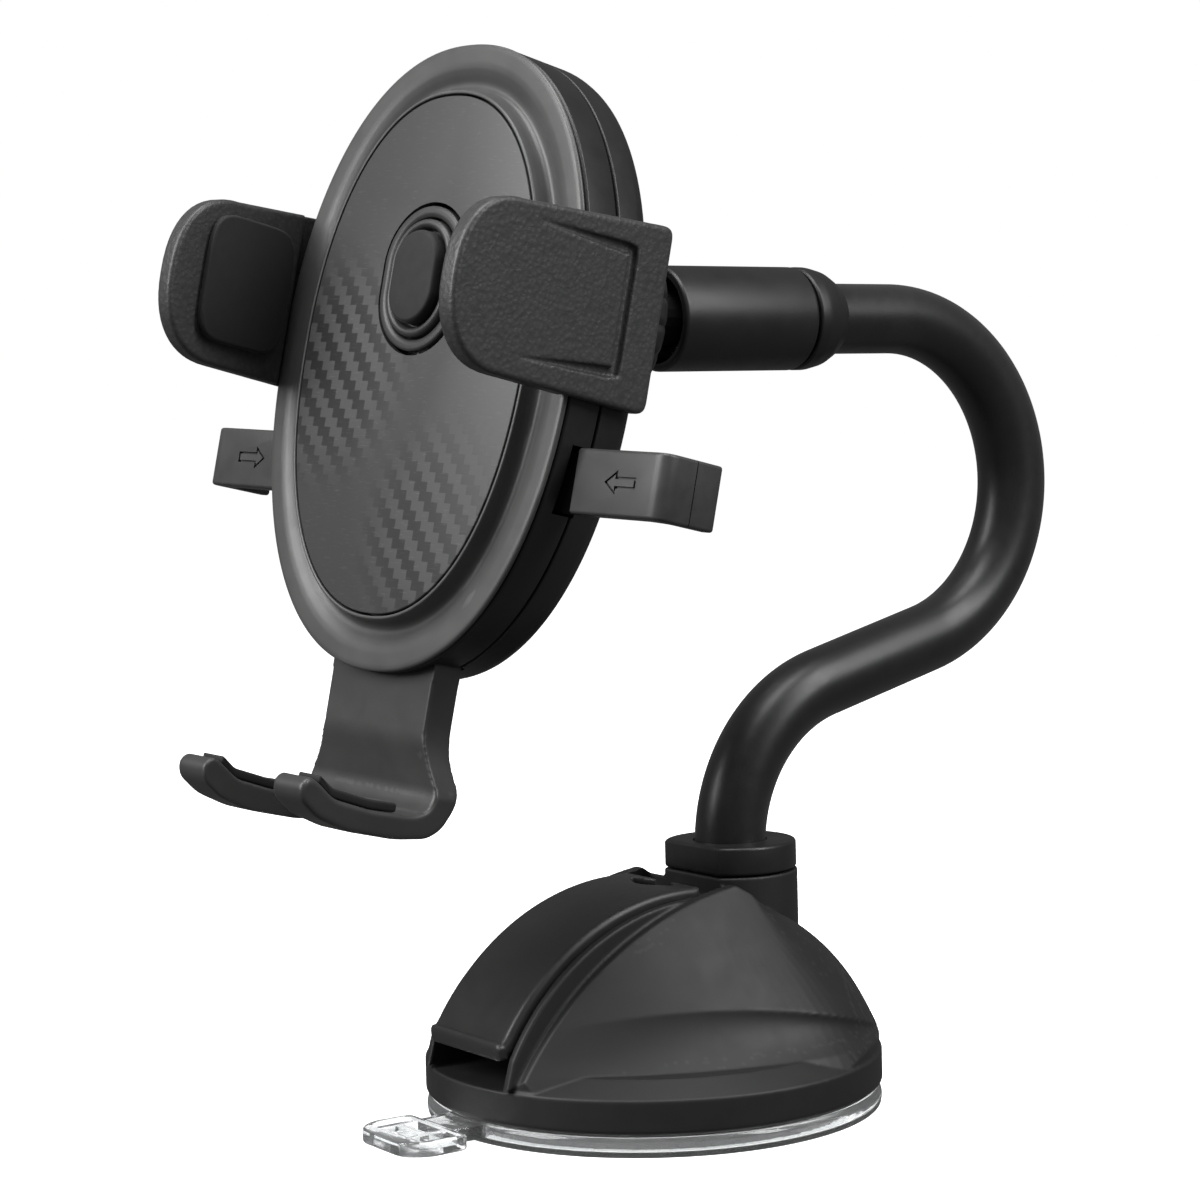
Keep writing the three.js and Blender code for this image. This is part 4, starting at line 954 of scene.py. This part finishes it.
def front_bezel():
    """The lighter frame round the face: a flat band, a deep hollow and a thin lip by the plate."""
    width = BODY_A - PLATE_A
    rim = [
        (3.2, -0.35), (0.25, -0.35), (0.0, -0.2), (0.0, 0.1), (0.25, 0.4), (0.8, 0.5), (3.0, 0.5),
        (4.0, 0.35), (5.0, -0.05), (6.0, -0.6), (6.8, -0.7), (7.4, -0.3), (7.8, 0.6), (8.0, 1.6),
        (8.05, 2.05), (8.2, 2.2), (width - 0.3, 2.2), (width - 0.3, -1.8), (3.2, -1.8)]
    rings = []
    for inward, z in rounded(rim, 0.35, 3):
        a = BODY_A - inward
        b = BODY_B - inward * (BODY_B - PLATE_B) / width
        rings.append([(x, y, z) for x, y in oval(a, b, 220)])
    bezel = make_mesh("bezel", *skin(rings, closed=True))
    place(bezel, BEZEL, "cradle", ["front_bezel"], CRADLE)


def face_plate():
    """The thin woven-look plate with the trigger's hole."""
    outline = oval(PLATE_A - 0.05, PLATE_B - 0.05, 200)
    plate = make_mesh("woven_plate", *skin(slab(outline, 1.2, PLATE_FRONT, 0.18, 3)))
    opening = stadium(TRIGGER_W + 0.7, TRIGGER_H + 0.7, TRIGGER_Y, 32)
    hole = make_mesh("cutter", *skin(slab(opening, -5, 9, 0.05, 1)))
    combine(plate, [hole], "DIFFERENCE")
    place(crisp(plate), TWILL, "cradle", ["face_plate"], CRADLE)


def stadium_rings(profile):
    """Rings of a stadium from (inset, z) points, measured in from the trigger's rim."""
    rings = []
    for d, z in profile:
        outline = stadium(TRIGGER_W - 2 * d, TRIGGER_H - 2 * d, TRIGGER_Y, 32)
        rings.append([(x, y, z) for x, y in outline])
    return rings


def trigger():
    """The fixed ring, the moving ring with its deep groove, and the soft oval pad."""
    ring = [(0.3, 0.9), (0.3, 2.4), (0.6, 2.65), (1.5, 2.7), (2.1, 2.4), (2.2, 0.9)]
    ring = rounded(ring, 0.25, 3)
    piece = make_mesh("trigger_frame", *skin(stadium_rings(ring), closed=True))
    place(piece, CHARCOAL, "cradle", ["trigger_ring"], CRADLE)
    button = rounded([
        (7.5, -0.1), (2.5, -0.1), (2.5, 2.8), (2.8, 3.25), (3.4, 3.35), (3.9, 2.9), (4.1, 1.4),
        (7.5, 1.4)],
        [0, 0.1, 0.2, 0.4, 0.4, 0.4, 0.2, 0], 3)
    piece = make_mesh("trigger_ring_moving", *skin(stadium_rings(button)))
    place(piece, CHARCOAL, "trigger", ["trigger_button"], CRADLE)
    pad = soft_profile([(7.5, 1.5), (4.5, 1.5), (4.5, 4.0), (4.85, 4.5), (7.5, 4.65)], 0.3, 4, False)
    piece = make_mesh("trigger_soft_pad", *skin(stadium_rings(pad)))
    place(piece, PAD, "trigger", ["trigger_pad"], CRADLE)


def wing_outline(side):
    """The wing from the side: (z, y) points, square at the back and D-shaped at the front."""
    shoulder = WING_SHOULDER
    tip = WING_TIP - (1.2 if side > 0 else 0)
    crown = 22.2 if side > 0 else 23.3

    def top(z):
        return crown - 0.09 * z

    def bottom(z):
        return -5.6 + 0.015 * z

    middle = (top(tip) + bottom(tip)) / 2
    points = []
    for i in range(29):
        angle = (-90 + 180 * i / 28) * DEG
        x = signed_power(math.cos(angle), 2 / 2.35)
        y = signed_power(math.sin(angle), 2 / 2.35)
        half = middle - bottom(shoulder) if y < 0 else top(shoulder) - middle
        points.append((shoulder + (tip - shoulder) * x, middle + half * y))
    back = rounded([points[-1], (WING_BACK, top(WING_BACK)), (WING_BACK, bottom(WING_BACK)), points[0]],
                   [0, 2.0, 2.0, 0])
    return points[:-1] + back[:-1]


def leaning(side):
    """Turns (z, y, depth) into the cradle's x, y, z on a wing that leans in towards its tip."""

    def fn(z, y, depth):
        return (side * (WING_OUTER - depth - WING_LEAN * z), y, z)

    return fn


def groove_cutter(side):
    """An open trapezoid groove in the wing's outer face, deep at the back and fading forwards."""
    path = [(12.0, 18.4), (-6.6, 18.2), (-6.6, -0.6), (12.0, -2.0)]
    dense = []
    for (z0, y0), (z1, y1) in zip(path, path[1:]):
        for k in range(12):
            dense.append((z0 + (z1 - z0) * k / 12, y0 + (y1 - y0) * k / 12))
    dense.append(path[-1])
    rings = []
    for i, (z, y) in enumerate(dense):
        before = Vector(dense[max(i - 1, 0)])
        after = Vector(dense[min(i + 1, len(dense) - 1)])
        along = (after - before).normalized()
        normal = Vector((-along.y, along.x))
        fade = min(max((12.0 - z) / 17.0, 0.0), 1.0)
        half = 0.30 + 0.75 * fade
        deep = 0.05 + 0.95 * fade
        shape = [(-half, -1.0), (-half * 0.7, deep), (half * 0.7, deep), (half, -1.0)]
        ring = []
        for offset, depth in shape:
            px = z + normal.x * offset
            py = y + normal.y * offset
            ring.append((side * (WING_OUTER - depth - WING_LEAN * px), py, px))
        rings.append(ring)
    return make_mesh("cutter", *skin(rings))


def wing(side, body, name, node):
    """One side clamp's outer blade, with its groove and its grained surface."""
    rings = slab(wing_outline(side), 0.0, WING_THICK, 0.7, 5)
    blade = make_mesh(name, *skin(mapped(rings, leaning(side))))
    combine(blade, [groove_cutter(side), block(-35.9, 35.9, -30, 40, -30, 1.3)], "DIFFERENCE")
    melted(blade, 0.22, 3, 0.6)
    place(blade, GRAINED, body, [node], CRADLE)


def wing_pad(side, body, name, node):
    """The soft pad on a clamp's inner face."""
    outline = []
    for i in range(96):
        angle = 2 * math.pi * i / 96
        x = signed_power(math.cos(angle), 2 / 5)
        y = signed_power(math.sin(angle), 2 / 5)
        outline.append((12 + 8.8 * x, 8.9 + 10.5 * y))
    rings = mapped(slab(outline, WING_THICK + 0.05, 5.1, 0.5), leaning(side))
    place(make_mesh(name, *skin(rings)), PAD, body, [node], CRADLE)


def arrow_outline(tip, tail, y):
    """A plain block arrow that points along x from tail to tip."""
    way = math.copysign(1, tip - tail)
    neck = tip - way * 2.6
    head = 1.9
    half = 0.9
    return [(tip, y), (neck, y + head), (neck, y + half), (tail, y + half), (tail, y - half),
            (neck, y - half), (neck, y - head)]


def release_lever(side, body, name, node):
    """One release lever: a plate that turns back at its end, with a recessed arrow."""
    reach = 54.9 if side > 0 else 55.9
    front = RELEASE_FRONT
    back = RELEASE_BACK
    outline = rounded([
        (35.9, front), (reach, front), (reach, back), (reach - 2.5, back), (reach - 2.6, -8.2),
        (reach - 4.4, -6.9), (35.9, -6.9)], [0.3, 2.6, 0.8, 0.8, 0.6, 0.6, 0.2])
    rings = mapped(slab(outline, LEVER_LOW, LEVER_HIGH, 0.5), lambda x, z, y: (side * x, y, z))
    lever = make_mesh(name, *skin(rings))
    tip, tail = (42.5, 49.1) if side > 0 else (-40.7, -48.0)
    arrow = arrow_outline(tip, tail, -17.5)
    core = inset(arrow, 0.38)
    depths = (front - 0.45, front + 1)
    groove = make_mesh("cutter", *skin([[(x, y, z) for x, y in arrow] for z in depths]))
    depths = (front - 2, front + 2)
    island = make_mesh("cutter", *skin([[(x, y, z) for x, y in core] for z in depths]))
    combine(groove, [island], "DIFFERENCE")
    low, high = (reach - 3, reach + 1) if side > 0 else (-reach - 1, -reach + 3)
    parting = block(low, high, -30, 0, -10.05, -9.85)
    shallow = block(-reach + 0.35, reach - 0.35, LEVER_LOW + 0.35, LEVER_HIGH - 0.35, -20, 5)
    combine(parting, [shallow], "DIFFERENCE")
    combine(lever, [groove, parting], "DIFFERENCE")
    place(crisp(lever), CHARCOAL, body, [node], CRADLE)


def hook_outline():
    """The foot from the side as (z, y) points."""
    front = FOOT_FRONT
    back = FOOT_BACK
    base = HOOK_Y
    heel = [
        (back, -40), (back, -62), (back - 0.8, -66.6), (back - 0.6, -69.4), (back + 1.5, -73.1),
        (back + 4.2, base - 0.3), (front + 5, base - 0.9), (12, base - 0.5), (18, base + 1)]
    tip = [
        (FOOT_TIP + 0.3, base + 3.4), (FOOT_TIP + 0.7, base + 5.8), (FOOT_TIP - 0.8, base + 7.2),
        (FOOT_TIP - 3, base + 6.2)]
    top = [
        (15.5, base + 4.2), (8, base + 3.2), (front + 2, base + 3.1), (front - 0.8, base + 4.2),
        (front - 1.8, base + 6.5), (front - 1, -64), (front, -60), (front, -40)]
    return rounded(heel + tip + top, 1.4, 5)


def foot():
    """The sliding plate that flares and turns forward into two hooks."""
    rings = slab(hook_outline(), -15.8, 15.8, 0.6)
    body = make_mesh("foot_hooks", *skin(mapped(rings, lambda z, y, x: (x, y, z))))
    right = [(FOOT_HALF, -36.4), (12.5, -50), (12.3, -59), (13.4, -63.5), (16.2, -68.5), (16.2, -80)]
    left = [(-x, y) for x, y in right[::-1]]
    plate = rounded([left[-1]] + right + left[:-1], 3.0, 6)
    keep = make_mesh("cutter", *skin(slab(plate, -30, 40, 0.1, 1)))
    combine(body, [keep], "INTERSECT")
    gap = rounded([(-8.7, -62.5), (8.7, -62.5), (8.7, -90), (-8.7, -90)], [2.5, 2.5, 0, 0])
    mouth = make_mesh("cutter", *skin([[(x, y, z) for x, y in gap] for z in (0.6, 60)]))
    combine(body, [mouth], "DIFFERENCE")
    melted(body, 0.26, 4, 0.7)
    place(body, CHARCOAL, "foot", ["foot"], CRADLE)


def foot_pad(side, name, node):
    """The soft pad along the top of one hook."""
    lift = 0.1
    thick = 1.5
    base = HOOK_Y
    low = [(2.5, base + 3.1), (8, base + 3.2), (15.5, base + 4.2), (FOOT_TIP - 3.2, base + 6.0)]
    outline = [(z, y + lift) for z, y in low] + [(z, y + lift + thick) for z, y in low[::-1]]
    middle = side * HOOK_CENTRE
    rings = slab(rounded(outline, 0.6, 4), middle - 2.7, middle + 2.7, 0.4)
    pad = make_mesh(name, *skin(mapped(rings, lambda z, y, x: (x, y, z))))
    place(pad, PAD, "foot", [node], CRADLE)


# ---- CAD nodes that stay -----------------------------------------------------------------------
def dress_cad_nodes():
    """Gives every CAD node that still shows a detailed material."""
    finishes = {"steel": STEEL, "white_nylon": NYLON, "black_abs": BLACK, "grey_abs": CHARCOAL}
    for part in frame["record"]["subparts"]:
        node = frame["nodes"][part["node"]]
        finish = finishes.get(part["material_slot"])
        if finish is None or node.hide_render:
            continue
        for slot in node.material_slots:
            slot.material = finish


# ---- Stage, lights and camera ------------------------------------------------------------------
def pale_material():
    """A nearly white floor with a faint glow of its own, so that it meets the backdrop unseen."""
    m = Nodes("pale_floor")
    tone = m.ramp(m.noise(3.0, 2.0), [(0.3, grey(0.96)), (0.7, grey(0.98))])
    m.link(tone, m.shader.inputs["Base Color"])
    m.link(tone, m.shader.inputs["Emission Color"])
    m.shader.inputs["Emission Strength"].default_value = 0.93
    m.shader.inputs["Specular IOR Level"].default_value = 0.0
    m.shader.inputs["Roughness"].default_value = 0.9
    return m.material


def stage():
    """A wide pale floor that the camera sees but that lights nothing."""
    half = 6000.0
    corners = [(-half, -half, 0), (half, -half, 0), (half, half, 0), (-half, half, 0)]
    floor = make_mesh("floor", corners, [(0, 1, 2, 3)])
    floor.data.materials.append(pale_material())
    floor.visible_diffuse = False
    floor.visible_glossy = False


def area_light(name, azimuth, elevation, distance, size, power):
    """A soft box that faces the mount from a direction."""
    target = Vector((0, 0, 0.09))
    a, e = azimuth * DEG, elevation * DEG
    away = Vector((math.sin(a) * math.cos(e), -math.cos(a) * math.cos(e), math.sin(e)))
    lamp = bpy.data.lights.new(name, "AREA")
    lamp.shape = "RECTANGLE"
    lamp.size, lamp.size_y = size
    lamp.energy = power
    obj = bpy.data.objects.new(name, lamp)
    obj.location = target + away * distance
    obj.rotation_euler = away.to_track_quat("Z", "Y").to_euler()
    bpy.context.scene.collection.objects.link(obj)


def lights():
    """A white backdrop that lights the object only faintly, and three soft boxes."""
    world = bpy.data.worlds.new("studio")
    world.use_nodes = True
    tree = world.node_tree
    background = tree.nodes["Background"]
    background.inputs["Color"].default_value = (1.0, 1.0, 1.0, 1.0)
    path = tree.nodes.new("ShaderNodeLightPath")
    strength = tree.nodes.new("ShaderNodeMapRange")
    strength.inputs["To Min"].default_value = 0.12
    strength.inputs["To Max"].default_value = 1.0
    tree.links.new(path.outputs["Is Camera Ray"], strength.inputs["Value"])
    tree.links.new(strength.outputs["Result"], background.inputs["Strength"])
    bpy.context.scene.world = world
    bpy.context.scene.view_settings.view_transform = "Standard"
    area_light("key_left", -12, 32, 1.0, (0.5, 0.7), 10)
    area_light("rim_right", 118, 38, 1.0, (0.25, 0.8), 7)
    area_light("top", 30, 78, 1.0, (0.6, 0.6), 8)


def camera():
    """The camera in front and to the right of the object, at about the cradle's height."""
    data = bpy.data.cameras.new("camera")
    data.lens = CAMERA_LENS
    data.sensor_width = 36.0
    data.clip_start = 0.01
    obj = bpy.data.objects.new("camera", data)
    turn = Matrix.Rotation(CAMERA_YAW, 4, "Z") @ Matrix.Rotation(90 * DEG + CAMERA_PITCH, 4, "X")
    turn = turn @ Matrix.Rotation(CAMERA_ROLL, 4, "Z")
    obj.matrix_world = Matrix.Translation(Vector(CAMERA_FROM) * MM) @ turn
    bpy.context.scene.collection.objects.link(obj)
    bpy.context.scene.camera = obj


base_housing()
post_collar()
lock_lever()
cam_drum()
suction_cup()
neck_skin()
end_fittings()
ball_nut()
rear_shell()
mid_frame()
front_bezel()
face_plate()
trigger()
wing(1, "arm_right", "wing_blade_right", "wing_right")
wing(-1, "arm_left", "wing_blade_left", "wing_left")
wing_pad(1, "arm_right", "wing_cushion_right", "wing_pad_right")
wing_pad(-1, "arm_left", "wing_cushion_left", "wing_pad_left")
release_lever(1, "arm_left", "release_plate_right", "release_lever_right")
release_lever(-1, "arm_right", "release_plate_left", "release_lever_left")
foot()
foot_pad(1, "hook_pad_right", "foot_pad_right")
foot_pad(-1, "hook_pad_left", "foot_pad_left")
dress_cad_nodes()
stage()
lights()
camera()
